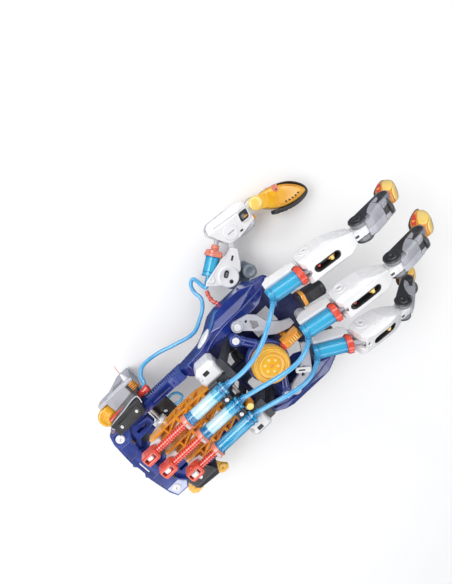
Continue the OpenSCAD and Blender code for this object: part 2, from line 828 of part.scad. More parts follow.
// Smooth curve through the points; t counts points from the first.
function smooth(points, t) =
  let (last = len(points) - 1, k = min(floor(t), last - 1), part = t - k,
       before = points[max(k - 1, 0)], start = points[k],
       end = points[k + 1], after = points[min(k + 2, last)])
  0.5 * (2 * start + (end - before) * part
    + (2 * before - 5 * start + 4 * end - after) * part * part
    + (3 * start - before - 3 * end + after) * part * part * part);

module finger_hoses() {
  end_gap = 0.02;
  steps = 16;
  color("#45b4e8") for (i = [0 : 2]) {
    start = [master_nozzle_x + end_gap, channel_y[i], master_z];
    out_dir = finger_dir(i, nozzle_dir);
    end = finger_point(i, nozzle_foot + (nozzle_len + end_gap) * nozzle_dir);
    ctrl = [start, start + [46, 0, 18], end + 30 * out_dir + [-10, 0, 0], end];
    hose([for (k = [0 : steps]) bezier(ctrl, k / steps)],
         [1, 0, 0], -out_dir, [0, 1, 0]);
  }
}

module hand_pad() {
  color("#3a3a3e") difference() {
    intersection() {
      box([46, 10, 2], [73, 45.4, 9]);
      top_slab([[48, 45.4], [46, 24], [52, 12], [66, 10], [73, 20],
                [73, 45.4]], 0, 10);
    }
    z_rod(3, 0, 20, [60, 26]);
  }
}

// ---- thumb ---------------------------------------------------------------
// Pivot between the thumb base and the thumb link, in the thumb frame.
thumb_pivot = [-53.6, 0, -9.6];
thumb_pivot_r = 3;
module thumb_base() {
  color("#3b3f46") {
    thumb_frame() {
      rotate([0, 10, 0]) {
        side_slab([[-60, -13], [-42, -13], [-24, -34], [-24, -50],
                   [-60, -50], [-64, -30]], 3.6, 9);
        y_rod(9, 16, -34, -43);
      }
      translate(thumb_pivot) y_rod_span(thumb_pivot_r, -12, 9);
    }
    // foot inside the hollow of the wing
    box([212, 56.1, -40], [240, 66, -34]);
    box([212, 56.1, -40], [232, 60.4, -12]);
  }
}
module thumb_link() {
  color("#eeeef2") thumb_frame() {
    difference() {
      union() {
        // cradle of the cylinder
        side_slab([[-17.5, -13], [-17.5, -4], [-24, -2.4], [-60, 3],
                   [-66, 5], [-66, -4], [-60, -12], [-40, -20]], -10, 10);
        // flank plate on the upper side of the cylinder
        side_slab([[-17.5, -13], [-18, -4], [-26, -2], [-33, 3], [-66, 16],
                   [-71, 15], [-68, 2], [-62, -14], [-42, -23], [-34, -21]],
                  -12.6, -9.2);
        translate(thumb_pivot) y_rod_span(13, -13.5, 3);
      }
      // room for the base plate under the round end
      box([-80, 3, -40], [-10, 20, 0.4]);
      x_rod(slave_r + seat_gap, -80, -14.5, 0, pin_z);
      x_rod(12, -33.6, -25.4, 0, pin_z);
      translate(thumb_pivot) {
        y_rod(thumb_pivot_r + run, 60);
        // two blind holes in the round face
        y_rod_span(2.2, -14, -9, -4, 2);
        y_rod_span(1.8, -14, -9, 4, -3);
      }
    }
    y_rod(6.4, 10);
    side_slab([[-19, -11], [0, -6.4], [0, 5], [-14, -2.6], [-19, -4.6]],
              -5, 2.9);
    y_rod(hinge_pin_r, 26);
  }
}
module thumb_barrel() {
  color("#2fb2df") thumb_frame() difference() {
    union() {
      x_rod(slave_r, -59, -33, 0, pin_z);
      x_rod(3.4, -66, -59, 0, pin_z);
    }
    x_rod(slave_bore, -57, -32, 0, pin_z);
  }
}
module thumb_cap() {
  color("#e4604e") thumb_frame() translate([-12, 0, 0]) slave_cap();
}
module thumb_slave_plunger() {
  color("#d9dbe0") thumb_frame() slave_plunger(flex_thumb);
}
module in_thumb() {
  thumb_frame() rotate([0, shell_rest_deg + flex_thumb, 0]) children();
}
thumb_profile = [[-8, -11], [-13.4, -5], [-15.6, -1], [-24, 13], [-22, 21],
  [-17, 24.5], [26, 24.5], [36, 20], [36, -6], [26, -8.4], [7, -12]];
module thumb_shell() {
  color("#f1f1f4") in_thumb()
    shell(thumb_len, 13, thumb_profile, 24.5, [14, 24], -5.7);
}
module thumb_tip() {
  cheek_in = 5.9;
  cheek_out = 10.7;
  color("#f6b92c") in_thumb() translate([thumb_len, 0, hinge_rise])
    rotate([0, bend_thumb, 0]) union() {
      both_sides() {
        y_rod_span(9, cheek_in, cheek_out);
        side_slab([[0, 9], [16, 9], [16, -9], [0, -9]], cheek_in, cheek_out);
      }
      intersection() {
        side_slab([[12, -10], [12, 10], [26, 13], [44, 12], [61, 6],
                   [71, -3], [70, -8], [54, -14], [28, -15.5]], -11, 11);
        top_slab([[10, -10.7], [44, -10.7], [61, -8.5], [71, -4.5],
                  [71, 4.5], [61, 8.5], [44, 10.7], [10, 10.7]], -20, 20);
        cross_slab([[-10.7, -17], [-10.7, 7], [-7, 14], [7, 14],
                    [10.7, 7], [10.7, -17]], 0, 75);
      }
      y_rod(hinge_pin_r, 12);
    }
}
module thumb_hose() {
  barrel_end = thumb_point([-66.05, 0, pin_z]);
  // stations from the thumb cylinder back to the controller side
  stations = [barrel_end, barrel_end + 7 * thumb_dir([-1, 0, 0.25]),
    [194, 114, -36], [186, 111, -36], [183, 101, -34], [184, 91, -30],
    [178, 82, -26], [166, 75, -19], [148, 69, -12], [122, 74, -14],
    [98, 80, -18], [76, 82, -16], [66, 76, -10], [64, 68, -4],
    [57.05, 65, -1]];
  steps = 3;  // curve steps from one station to the next
  color("#4db6e6")
    hose([for (k = [0 : steps * (len(stations) - 1)]) smooth(stations, k / steps)],
         thumb_dir([-1, 0, 0]), [-1, -0.2, 0.2], [0.2, 0.1, 1]);
}

// ---- controller ------------------------------------------------------------
controller_pin = [6, 0, -14];
adjuster_axis = [52, 0, -8.2];
plunger_y = 64.5;
plunger_z = 10;
controller_plunger_r = 4;
adjuster_r = 1.5;
controller_swing = 20;   // degrees of the controller lever at full flexion
controller_stroke = 8;

// Space taken by the rail, the rear plate and the rack inside a clamp.
module rail_clearance(end_x) {
  rail_out = rail_in + rail_w;
  box([0, 40, -0.4], [end_x, rail_out + 0.4, rail_h + 5.3]);
  box([0, 40, 7.4], [end_x, rail_out + rack_depth + 0.4, 14.6]);
  box([0, 40, -10], [end_x, rail_out - 4, 0]);
}
module controller_clamp() {
  color("#33353a") difference() {
    intersection() {
      top_slab([[11, 50], [52, 51], [57, 72], [12, 66]], -5, 30);
      cross_slab([[48, -5], [48, 30], [68, 30], [73, 24], [73, -5]], 0, 60);
    }
    rail_clearance(60);
    x_rod(controller_plunger_r + run, 0, 70, plunger_y, plunger_z);
    box([20, 60, 29], [48, 63, 31]);
    box([47, 65.6, -6], [60, 80, -1.2]);
  }
}
module controller_body() {
  color("#c4c6cb") difference() {
    union() {
      side_slab([[14, -5], [54, -5], [52, -30], [45, -64], [26, -64],
                 [18, -30]], 63, 84);
      // lugs of the adjuster
      for (lug = [[63, 66], [80, 84]])
        side_slab([[46, -5], [57, -5], [57, -8.5], [52, -15], [46, -15]],
                  lug[0], lug[1]);
      // ear for the lever pin
      side_slab([[2, -24], [2, -8], [20, -6], [22, -30]], 79, 84);
    }
    translate(controller_pin) y_rod_span(2 + run, 70, 90);
    // recesses in the outer face
    side_slab([[24, -12], [44, -12], [43, -30], [26, -30]], 82, 90);
    side_slab([[28, -38], [42, -38], [40, -56], [30, -56]], 82, 90);
    // room for the adjuster wheel
    box([44, 66, -13], [60, 80, 0]);
    translate(adjuster_axis) y_rod_span(adjuster_r + run, 64.2, 82.2);
  }
}
module controller_lever() {
  color("#f7b71f") translate(controller_pin)
    rotate([0, controller_swing / stroke_deg * flex_thumb, 0]) {
      y_rod_span(7, 62, 77);
      // round thumb pad
      z_rod(12, -3.5, 3, [-5, 65.5]);
      side_slab([[-8, 0], [-9.5, 20], [-8.5, 28], [-4.8, 28], [-4.5, 14],
                 [4, 4]], 62, 67);
      y_rod_span(2, 76, 84);
    }
}
module controller_plunger() {
  shift = controller_stroke / stroke_deg * flex_thumb;
  color("#dd2a25") translate([shift, plunger_y, plunger_z]) {
    x_rod(controller_plunger_r, 3.2, 58);
    x_rod(5, 57.3, 61.5);
  }
}
module adjuster_wheel() {
  color("#ef8c22") translate(adjuster_axis) {
    y_rod_span(adjuster_r, 64.4, 82);
    y_rod_span(3.4, 66.4, 79.6);
    for (k = [0 : 3]) y_rod_span(4.4, 77 - k * 3.3, 79 - k * 3.3);
  }
}
module clamp_right() {
  color("#33353a") mirror([0, 1, 0]) difference() {
    intersection() {
      top_slab([[21, 50], [52, 50], [58, 66], [52, 78], [24, 74]], -5, 30);
      cross_slab([[48, -5], [48, 28], [66, 28], [79, 18], [79, -5]], 0, 70);
    }
    rail_clearance(70);
  }
}
module clamp_hook() {
  color("#f7c42a") mirror([0, 1, 0])
    top_slab([[6, 70], [0, 80], [0, 88], [6, 93], [16, 92], [24, 86],
              [31, 84], [39, 90], [49, 96.5], [57, 97], [60, 92], [54, 84],
              [50, 74], [48, 64], [22, 60], [12, 64]], -11, -5);
}

rear_plate();
rails();
palm_block();
wing_left();
wing_right();
palm_plate();
cylinder_bridge();
corner_blocks();
cross_shafts();
screw_caps();
side_links();
knob_mount();
palm_knob();
amber_fittings();
master_barrels();
master_collars();
slave_barrels();
slave_caps();
finger_hoses();
knuckles();
hand_pad();
finger_shell(index);  // index_shell
finger_shell(middle);  // middle_shell
finger_shell(ring);  // ring_shell
finger_link(index);  // index_link
finger_link(middle);  // middle_link
finger_link(ring);  // ring_link
finger_tip(index);  // index_tip
finger_tip(middle);  // middle_tip
finger_tip(ring);  // ring_tip
finger_slave_plunger(index);  // index_slave_plunger
finger_slave_plunger(middle);  // middle_slave_plunger
finger_slave_plunger(ring);  // ring_slave_plunger
master_plunger(index);  // index_master_plunger
master_plunger(middle);  // middle_master_plunger
master_plunger(ring);  // ring_master_plunger
truss(index);  // index_truss
truss(middle);  // middle_truss
truss(ring);  // ring_truss
push_lever(index);  // index_lever
push_lever(middle);  // middle_lever
push_lever(ring);  // ring_lever
loop_lever(index);  // index_ring_lever
loop_lever(middle);  // middle_ring_lever
loop_lever(ring);  // ring_ring_lever
thumb_base();
thumb_link();
thumb_shell();
thumb_tip();
thumb_barrel();
thumb_cap();
thumb_slave_plunger();
thumb_hose();
controller_clamp();
controller_body();
controller_lever();
controller_plunger();
adjuster_wheel();
clamp_right();
clamp_hook();
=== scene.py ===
# A hydraulic mechanical hand. Three finger cylinders behind the palm feed hoses to the index,
# middle and ring fingers; the thumb's hose comes from a small controller beside the rear plate.
# +X runs from the rear plate to the fingertips, +Y is the index finger's side, +Z is up.
# Pieces are drawn in millimetres and stored in metres.
import bpy
import bmesh
import json
from math import cos, exp, hypot, pi, radians, sin
from mathutils import Matrix, Vector


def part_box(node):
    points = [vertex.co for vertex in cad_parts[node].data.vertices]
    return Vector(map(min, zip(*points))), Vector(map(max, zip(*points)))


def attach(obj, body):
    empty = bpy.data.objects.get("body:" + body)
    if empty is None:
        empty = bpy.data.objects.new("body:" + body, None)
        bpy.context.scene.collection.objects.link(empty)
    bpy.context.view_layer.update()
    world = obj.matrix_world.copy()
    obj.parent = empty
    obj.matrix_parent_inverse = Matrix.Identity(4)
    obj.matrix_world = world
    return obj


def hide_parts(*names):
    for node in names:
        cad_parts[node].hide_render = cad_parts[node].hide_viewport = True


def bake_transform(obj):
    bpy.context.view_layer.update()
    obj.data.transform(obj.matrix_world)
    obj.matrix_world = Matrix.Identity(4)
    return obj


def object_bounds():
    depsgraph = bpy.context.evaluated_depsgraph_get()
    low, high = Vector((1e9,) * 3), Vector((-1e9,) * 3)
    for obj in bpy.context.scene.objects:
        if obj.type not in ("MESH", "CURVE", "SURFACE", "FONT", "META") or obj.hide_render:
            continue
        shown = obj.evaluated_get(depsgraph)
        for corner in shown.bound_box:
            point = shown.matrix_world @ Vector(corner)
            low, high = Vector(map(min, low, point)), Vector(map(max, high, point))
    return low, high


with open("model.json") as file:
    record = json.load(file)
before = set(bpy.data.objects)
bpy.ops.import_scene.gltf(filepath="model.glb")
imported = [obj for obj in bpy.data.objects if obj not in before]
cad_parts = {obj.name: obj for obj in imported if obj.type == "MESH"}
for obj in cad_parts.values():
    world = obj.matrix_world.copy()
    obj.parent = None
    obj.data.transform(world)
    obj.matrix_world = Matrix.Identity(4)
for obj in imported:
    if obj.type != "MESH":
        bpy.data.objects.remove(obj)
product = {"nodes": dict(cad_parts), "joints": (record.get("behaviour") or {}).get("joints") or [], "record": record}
lo0, hi0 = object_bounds()
NODES = product["nodes"]
JOINTS = {joint["name"]: joint for joint in product["joints"]}
RECORD = product["record"]
BODY = {node: body for body, nodes in RECORD["behaviour"]["bodies"].items() for node in nodes}
SLOTS = {part["node"]: part["material_slot"] for part in RECORD["subparts"]}
MM = 0.001
FINGER_Y = {"index": 24.0, "middle": 0.0, "ring": -24.0}  # each finger cylinder's y
MASTER_Z = 70                                             # height of those cylinders' axes
SIDES = ((1, "l"), (-1, "r"))                             # +Y is left


# ---------------------------------------------------------------- shaders
class Shader:
    """One node tree. The methods add nodes and return output sockets."""

    def __init__(self, tree):
        self.tree = tree

    def add(self, kind):
        return self.tree.nodes.new("ShaderNode" + kind)

    def put(self, socket, value):
        if hasattr(value, "is_output"):
            self.tree.links.new(value, socket)
        elif isinstance(value, tuple):
            socket.default_value = (*value, 1.0)
        else:
            socket.default_value = value

    def surface(self, inputs):
        for name, value in inputs.items():
            self.put(self.tree.nodes["Principled BSDF"].inputs[name], value)

    def source(self, kind, output):
        return self.add(kind).outputs[output]

    def mix(self, factor, a, b):
        node = self.add("Mix")
        node.data_type = "RGBA"
        for index, value in ((0, factor), (6, a), (7, b)):
            self.put(node.inputs[index], value)
        return node.outputs[2]

    def ramp(self, value, stops):
        node = self.add("ValToRGB")
        self.put(node.inputs[0], value)
        elements = node.color_ramp.elements
        for element, stop in ((elements[0], stops[0]), (elements[1], stops[-1])):
            element.position = stop[0]
            element.color = (*stop[1], 1.0)
        for position, colour in stops[1:-1]:
            elements.new(position).color = (*colour, 1.0)
        return node.outputs[0]

    def noise(self, coords, scale, detail=3.0, rough=0.55, stretch=None):
        node = self.add("TexNoise")
        node.inputs["Scale"].default_value = scale
        node.inputs["Detail"].default_value = detail
        node.inputs["Roughness"].default_value = rough
        if stretch:
            mapping = self.add("Mapping")
            mapping.inputs["Scale"].default_value = stretch
            self.put(mapping.inputs[0], coords)
            coords = mapping.outputs[0]
        self.put(node.inputs["Vector"], coords)
        return node.outputs["Fac"]

    def maths(self, operation, *values, clamp=False):
        node = self.add("Math")
        node.operation = operation
        node.use_clamp = clamp
        for socket, value in zip(node.inputs, values):
            self.put(socket, value)
        return node.outputs[0]

    def times(self, value, by, clamp=False):
        return self.maths("MULTIPLY", value, by, clamp=clamp)

    def scaled(self, value, by, plus, clamp=False):
        return self.maths("MULTIPLY_ADD", value, by, plus, clamp=clamp)

    def facing(self, blend):
        node = self.add("LayerWeight")
        node.inputs[0].default_value = blend
        return node.outputs["Facing"]

    def bump(self, height, strength, depth):
        """Bump of the given depth in millimetres."""
        node = self.add("Bump")
        node.inputs["Strength"].default_value = strength
        node.inputs["Distance"].default_value = depth * MM
        self.put(node.inputs["Height"], height)
        return node.outputs[0]


def new_material(name):
    material = bpy.data.materials.new(name)
    material.use_nodes = True
    return material, Shader(material.node_tree)


def moulded(name, deep, base, light, rough, coat, rim, edge=0.35, rim_power=2.2,
            grain=2600.0, grain_depth=0.02):
    """Moulded plastic in mottled deep, base and light pigment. Rubbed edges (edge) go lighter as wear;
    grazing angles (rim, rim_power) go lighter as a painted sheen; grain is the scale of the fine bump."""
    material, shader = new_material(name)
    coords = shader.source("TexCoord", "Object")
    mottle = shader.noise(coords, scale=38.0, detail=2.0)
    flow = shader.noise(coords, scale=210.0, detail=4.0, rough=0.6, stretch=(1.0, 0.35, 1.0))
    pigment = shader.scaled(flow, by=0.35, plus=shader.times(mottle, 0.65))
    pale = tuple(b * 0.86 + l * 0.14 for b, l in zip(base, light))
    colour = shader.ramp(pigment, [(0.30, deep), (0.52, base), (0.78, pale)])
    # wear: convex edges, broken up by noise
    pointiness = shader.source("NewGeometry", "Pointiness")
    wear = shader.times(shader.maths("SUBTRACT", pointiness, 0.515), by=14.0, clamp=True)
    patches = shader.noise(coords, scale=420.0, detail=2.0)
    wear = shader.times(wear, shader.scaled(patches, by=1.2, plus=-0.1, clamp=True), clamp=True)
    colour = shader.mix(shader.times(wear, edge), colour, light)
    # painted sheen: grazing angles go lighter towards the light colour
    grazing = shader.maths("POWER", shader.facing(blend=0.5), rim_power)
    colour = shader.mix(shader.times(grazing, rim), colour, light)
    smudge = shader.scaled(shader.noise(coords, scale=95.0), by=0.18, plus=rough - 0.09)
    gloss = shader.scaled(wear, by=0.12, plus=smudge)
    fine = shader.noise(coords, scale=grain, detail=2.0)
    relief = shader.scaled(flow, by=2.0, plus=fine)
    shader.surface({
        "Base Color": colour, "Roughness": gloss, "Coat Weight": coat, "Coat Roughness": 0.12,
        "Specular IOR Level": 0.5, "Normal": shader.bump(relief, strength=0.35, depth=grain_depth)})
    return material


def clear_finish(shader, colour, streaks, transmission, ior, rough, coat):
    """Glossy clear plastic with drawn streaks in its roughness and bump."""
    shader.surface({
        "Base Color": colour, "Transmission Weight": transmission, "IOR": ior,
        "Roughness": shader.scaled(streaks, by=0.08, plus=rough), "Coat Weight": coat,
        "Coat Roughness": 0.04, "Normal": shader.bump(streaks, strength=0.15, depth=0.03)})


def clear_tube(name, tint, dark):
    """Tinted clear cylinder: drawn streaks in its roughness and bump, painted highlight streaks in its colour and
    painted shade at its grazing edges.
    """
    material, shader = new_material(name)
    coords = shader.source("TexCoord", "Object")
    streaks = shader.noise(coords, scale=90.0, detail=2.0, rough=0.5, stretch=(0.12, 1.0, 1.0))
    # painted shade: grazing edges darken towards the dark colour
    colour = shader.mix(shader.facing(blend=0.42), tint, dark)
    # painted highlight: the streaks lighten the colour
    streak_highlight = tuple(min(1.0, c * 1.25 + 0.06) for c in tint)
    colour = shader.mix(shader.times(streaks, 0.35), colour, streak_highlight)
    clear_finish(shader, colour, streaks, transmission=0.30, ior=1.22, rough=0.03, coat=0.8)
    return material


# Colour of the finger cylinders by position along the barrel, 0 rear to 1 front. The pale middle stops of BANDED are
# a painted reflection.
BARREL_START, BARREL_LENGTH = 0.091, 0.057  # metres
BANDED = [(0.0, (0.0, 0.16, 0.42)), (0.13, (0.0, 0.22, 0.52)), (0.15, (0.55, 0.86, 0.94)),
          (0.40, (0.80, 0.94, 0.97)), (0.62, (0.45, 0.84, 0.95)), (0.66, (0.02, 0.42, 0.72)),
          (0.80, (0.02, 0.50, 0.80)), (0.84, (0.0, 0.26, 0.58)), (1.0, (0.01, 0.40, 0.70))]
ALL_DEEP = [(0.0, (0.0, 0.26, 0.52)), (0.2, (0.0, 0.36, 0.68)), (0.6, (0.01, 0.44, 0.76)),
            (0.8, (0.0, 0.28, 0.60)), (1.0, (0.0, 0.34, 0.64))]
BANDED_FROM_Y = -0.012  # metres; the index and middle barrels lie beyond it


def barrel_by_place(name):
    """Three barrels in one mesh: two with a pale middle that is a painted reflection, one deep cyan throughout; all
    with painted highlight streaks and painted shade at grazing edges.
    """
    material, shader = new_material(name)
    coords = shader.source("TexCoord", "Object")
    place = shader.add("SeparateXYZ")
    shader.put(place.inputs[0], coords)
    along = shader.times(shader.maths("SUBTRACT", place.outputs[0], BARREL_START),
                         by=1.0 / BARREL_LENGTH)
    # the pale middle of the banded ramp is a painted reflection
    band = shader.ramp(along, BANDED)
    deep = shader.ramp(along, ALL_DEEP)
    is_banded = shader.maths("GREATER_THAN", place.outputs[1], BANDED_FROM_Y)
    colour = shader.mix(is_banded, deep, band)
    streaks = shader.noise(coords, scale=420.0, detail=2.0, rough=0.5, stretch=(0.06, 1.0, 1.0))
    # painted highlight: whitish streaks along the barrels
    streak_highlight_mask = shader.times(shader.maths("SUBTRACT", streaks, 0.5), by=2.2, clamp=True)
    colour = shader.mix(streak_highlight_mask, colour, (0.80, 0.96, 1.0))
    # painted shade: grazing edges darken to deep blue
    edge = shader.maths("POWER", shader.facing(blend=0.5), 1.6)
    colour = shader.mix(shader.times(edge, 0.9, clamp=True), colour, (0.0, 0.30, 0.62))
    clear_finish(shader, colour, streaks, transmission=0.22, ior=1.3, rough=0.04, coat=0.9)
    return material


def metal(name, base):
    """Drawn metal with fine brush lines."""
    material, shader = new_material(name)
    coords = shader.source("TexCoord", "Object")
    lines = shader.noise(coords, scale=700.0, rough=0.6, stretch=(1.0, 0.05, 1.0))
    dull = tuple(c * 0.7 for c in base)
    shader.surface({
        "Base Color": shader.ramp(lines, [(0.3, dull), (0.7, base)]), "Metallic": 1.0,
        "Roughness": shader.scaled(lines, by=0.25, plus=0.18),
        "Normal": shader.bump(lines, strength=0.2, depth=0.02)})
    return material


# Plastics are given as their deep, base and light colours; rim sets the strength of their painted sheen at grazing
# angles.
MAT = {
    "blue_shell": moulded(
        "royal_blue", (0.002, 0.008, 0.095), (0.004, 0.020, 0.200), (0.16, 0.28, 0.85),
        rough=0.14, coat=0.6, grain_depth=0.006, rim=0.13, rim_power=3.4, edge=0.34),
    "navy_plate": moulded(
        "navy", (0.003, 0.004, 0.035), (0.006, 0.009, 0.060), (0.12, 0.15, 0.42),
        rough=0.30, coat=0.4, grain_depth=0.01, rim=0.25),
    "charcoal": moulded(
        "charcoal", (0.008, 0.009, 0.011), (0.018, 0.019, 0.022), (0.16, 0.165, 0.19),
        rough=0.38, coat=0.2, grain_depth=0.04, rim=0.22, edge=0.4),
    "white_shell": moulded(
        "pearl_white", (0.755, 0.76, 0.79), (0.80, 0.805, 0.825), (0.93, 0.93, 0.95),
        rough=0.26, coat=0.5, grain_depth=0.008, rim=0.0, edge=0.12),
    "light_grey": moulded(
        "light_grey", (0.40, 0.41, 0.46), (0.50, 0.51, 0.57), (0.78, 0.79, 0.83),
        rough=0.3, coat=0.4, grain_depth=0.01, rim=0.2, edge=0.25),
    "mid_grey": moulded(
        "mid_grey", (0.10, 0.105, 0.12), (0.17, 0.175, 0.20), (0.50, 0.51, 0.56),
        rough=0.34, coat=0.3, rim=0.35),
    "steel": metal("drawn_steel", (0.62, 0.63, 0.65)),
    "yellow": moulded(
        "golden_yellow", (0.72, 0.30, 0.004), (0.90, 0.46, 0.012), (1.0, 0.80, 0.28),
        rough=0.2, coat=0.8, rim=0.45, rim_power=1.8),
    "amber": moulded(
        "amber_orange", (0.62, 0.17, 0.003), (0.84, 0.30, 0.008), (1.0, 0.62, 0.16),
        rough=0.24, coat=0.6, rim=0.5, rim_power=1.8),
    "red": moulded(
        "orange_red", (0.48, 0.016, 0.008), (0.70, 0.040, 0.016), (0.95, 0.26, 0.17),
        rough=0.20, coat=0.8, grain_depth=0.008, rim=0.22),
    "salmon": moulded(
        "salmon", (0.56, 0.12, 0.075), (0.76, 0.20, 0.13), (1.0, 0.55, 0.46),
        rough=0.26, coat=0.6, rim=0.45),
    "clear_cyan": clear_tube("clear_cyan", tint=(0.05, 0.52, 0.84), dark=(0.0, 0.16, 0.46)),
    "hose_blue": moulded(
        "sky_hose", (0.02, 0.25, 0.55), (0.05, 0.38, 0.74), (0.50, 0.86, 1.0),
        rough=0.2, coat=0.8, rim=0.65, rim_power=1.6, edge=0.1),
    "tip_yellow": moulded(
        "pale_yellow", (0.90, 0.55, 0.07), (0.96, 0.68, 0.16), (1.0, 0.88, 0.50),
        rough=0.2, coat=0.8, rim=0.4, rim_power=1.8),
    "seal_blue": moulded(
        "deep_cyan", (0.0, 0.10, 0.30), (0.0, 0.19, 0.46), (0.10, 0.60, 0.90),
        rough=0.15, coat=0.8, rim=0.4),
    "roof_grey": moulded(
        "roof_grey", (0.25, 0.26, 0.30), (0.33, 0.34, 0.385), (0.66, 0.67, 0.72),
        rough=0.3, coat=0.4, rim=0.2),
    "master_tube": barrel_by_place("master_tube"),
    # painted reflection: a pale lavender copy of the blue, used on the right corner pad
    "lavender": moulded(
        "lavender", (0.42, 0.47, 0.72), (0.55, 0.60, 0.82), (0.80, 0.84, 0.96),
        rough=0.22, coat=0.8, grain_depth=0.008, rim=0.2),
    "slate": moulded(
        "slate", (0.10, 0.13, 0.16), (0.15, 0.19, 0.235), (0.42, 0.48, 0.54),
        rough=0.34, coat=0.3, rim=0.3),
    "rubber": moulded(
        "rubber", (0.010, 0.010, 0.011), (0.022, 0.022, 0.024), (0.16, 0.16, 0.17),
        rough=0.62, coat=0.0, grain=1500.0, grain_depth=0.12, rim=0.3),
    "dark_core": moulded(
        "dark_core", (0.006, 0.006, 0.007), (0.014, 0.014, 0.016), (0.12, 0.12, 0.13),
        rough=0.4, coat=0.1, rim=0.2),
}


# ------------------------------------------------------- CAD nodes: finish
def bevel_edges(piece, width, segs, angle, weight=80):
    bevel = piece.modifiers.new("edges", "BEVEL")
    bevel.width = width * MM
    bevel.segments = segs
    bevel.limit_method = "ANGLE"
    bevel.angle_limit = radians(angle)
    piece.modifiers.new("normals", "WEIGHTED_NORMAL").weight = weight


SOFT = {  # rounded nodes: voxel size in mm, smoothing passes
    "wing_left": (0.9, 5), "wing_right": (0.9, 5), "corner_blocks": (0.6, 26),
    "knuckles": (0.7, 12), "index_shell": (0.55, 12), "middle_shell": (0.55, 12),
    "ring_shell": (0.55, 12), "thumb_shell": (0.55, 12), "thumb_link": (0.5, 6),
    "side_links": (0.5, 6), "clamp_right": (0.7, 6), "controller_body": (0.6, 6),
    "controller_clamp": (0.5, 4), "hand_pad": (0.7, 10), "palm_block": (0.5, 5),
    "amber_fittings": (0.45, 6), "clamp_hook": (0.6, 8), "controller_lever": (0.5, 6),
}
BEVEL = {  # crisp nodes: bevel width in mm
    "rear_plate": 0.8, "rails": 0.22, "palm_plate": 0.7, "palm_knob": 0.9,
    "knob_mount": 0.6, "cylinder_bridge": 0.8, "master_barrels": 0.25,
    "slave_barrels": 0.3, "thumb_barrel": 0.3, "master_collars": 0.35,
    "slave_caps": 0.5, "thumb_cap": 0.5, "screw_caps": 0.3,
}
OTHER_BEVEL = 0.35
for node_name, node in NODES.items():
    node.data.materials.clear()
    node.data.materials.append(MAT[SLOTS[node_name]])
    for polygon in node.data.polygons:
        polygon.use_smooth = True
    if node_name in SOFT:
        voxel, passes = SOFT[node_name]
        skin = node.modifiers.new("skin", "REMESH")
        skin.mode = "VOXEL"
        skin.voxel_size = voxel * MM
        skin.use_smooth_shade = True
        soften = node.modifiers.new("soften", "SMOOTH")
        soften.factor = 0.5
        soften.iterations = passes
    else:
        planes = node.modifiers.new("planes", "DECIMATE")
        planes.decimate_type = "DISSOLVE"
        planes.angle_limit = radians(1.2)
        bevel_edges(node, BEVEL.get(node_name, OTHER_BEVEL), segs=2, angle=38)
for node_name, finish_name in (("master_barrels", "master_tube"), ("thumb_base", "slate"),
                               ("thumb_cap", "salmon")):
    NODES[node_name].data.materials[0] = MAT[finish_name]


# ------------------------------------------------------- frames and outlines
class Frame:
    """A local frame in millimetres: origin and three axes."""

    def __init__(self, origin, x, y, z):
        self.origin, self.x, self.y, self.z = Vector(origin), Vector(x), Vector(y), Vector(z)

    def place(self, x, y, z):
        """A point of the frame in world metres."""
        return (self.origin + self.x * x + self.y * y + self.z * z) * MM

    def mm(self, x, y, z):
        """A point of the frame in world millimetres."""
        return self.place(x, y, z) / MM

    def at(self, x, y, z):
        origin = self.origin + self.x * x + self.y * y + self.z * z
        return Frame(origin, self.x, self.y, self.z)

    def turn_y(self, degrees):
        c, s = cos(radians(degrees)), sin(radians(degrees))
        return Frame(self.origin, self.x * c - self.z * s, self.y, self.z * c + self.x * s)

    def side(self, sign=1):
        """A frame whose z looks along this one's +y or -y."""
        return Frame(self.origin, self.x, self.z * -sign, self.y * sign)

    def ahead(self):
        """A frame whose z looks along this one's x."""
        return Frame(self.origin, self.y, self.z, self.x)

    def flipped(self):
        """A frame whose z looks along this one's -z."""
        return Frame(self.origin, self.x, -self.y, -self.z)

    def outward(self, radius, height, angle):
        """A frame on a circle about z: x tangent, y along the axis, z radial."""
        c, s = cos(angle), sin(angle)
        return Frame(self.at(radius * c, radius * s, height).origin,
                     self.x * -s + self.y * c, self.z, self.x * c + self.y * s)

    def arc(self, radius, height, degrees):
        return [self.mm(radius * cos(radians(d)), radius * sin(radians(d)), height)
                for d in degrees]

    def path(self, points, per=6, closed=False):
        return smooth_path([self.mm(*point) for point in points], per, closed)


WORLD = Frame((0, 0, 0), (1, 0, 0), (0, 1, 0), (0, 0, 1))


def yawed(origin, degrees):
    c, s = cos(radians(degrees)), sin(radians(degrees))
    return Frame(origin, (c, s, 0), (-s, c, 0), (0, 0, 1))


def aimed(point, direction, back):
    """A frame that looks along direction, set back from the point."""
    z = direction.normalized()
    x = z.orthogonal().normalized()
    return Frame(point - z * back, x, z.cross(x), z)


def rounded(x0, y0, x1, y1, r, steps=6):
    """Rectangle outline with round corners."""
    corners = ((x1 - r, y1 - r, 0), (x0 + r, y1 - r, 90), (x0 + r, y0 + r, 180),
               (x1 - r, y0 + r, 270))
    return [(x + r * cos(radians(start + 90 * i / steps)),
             y + r * sin(radians(start + 90 * i / steps)))
            for x, y, start in corners for i in range(steps + 1)]


def centred(half_x, half_y, r, steps=6):
    return rounded(-half_x, -half_y, half_x, half_y, r, steps)


def mirror(points, side):
    return [(x, side * y, z) for x, y, z in points]


def mirror_rings(sections, side):
    return [(x, [(side * y, z) for y, z in ring]) for x, ring in sections]


def side_view(points, side):
    """Points (x, z) of a frame as outline points of its side(side) frame."""
    return [(x, -side * z) for x, z in points]


def straight(start, end, steps):
    return [start + (end - start) * (i / steps) for i in range(steps + 1)]


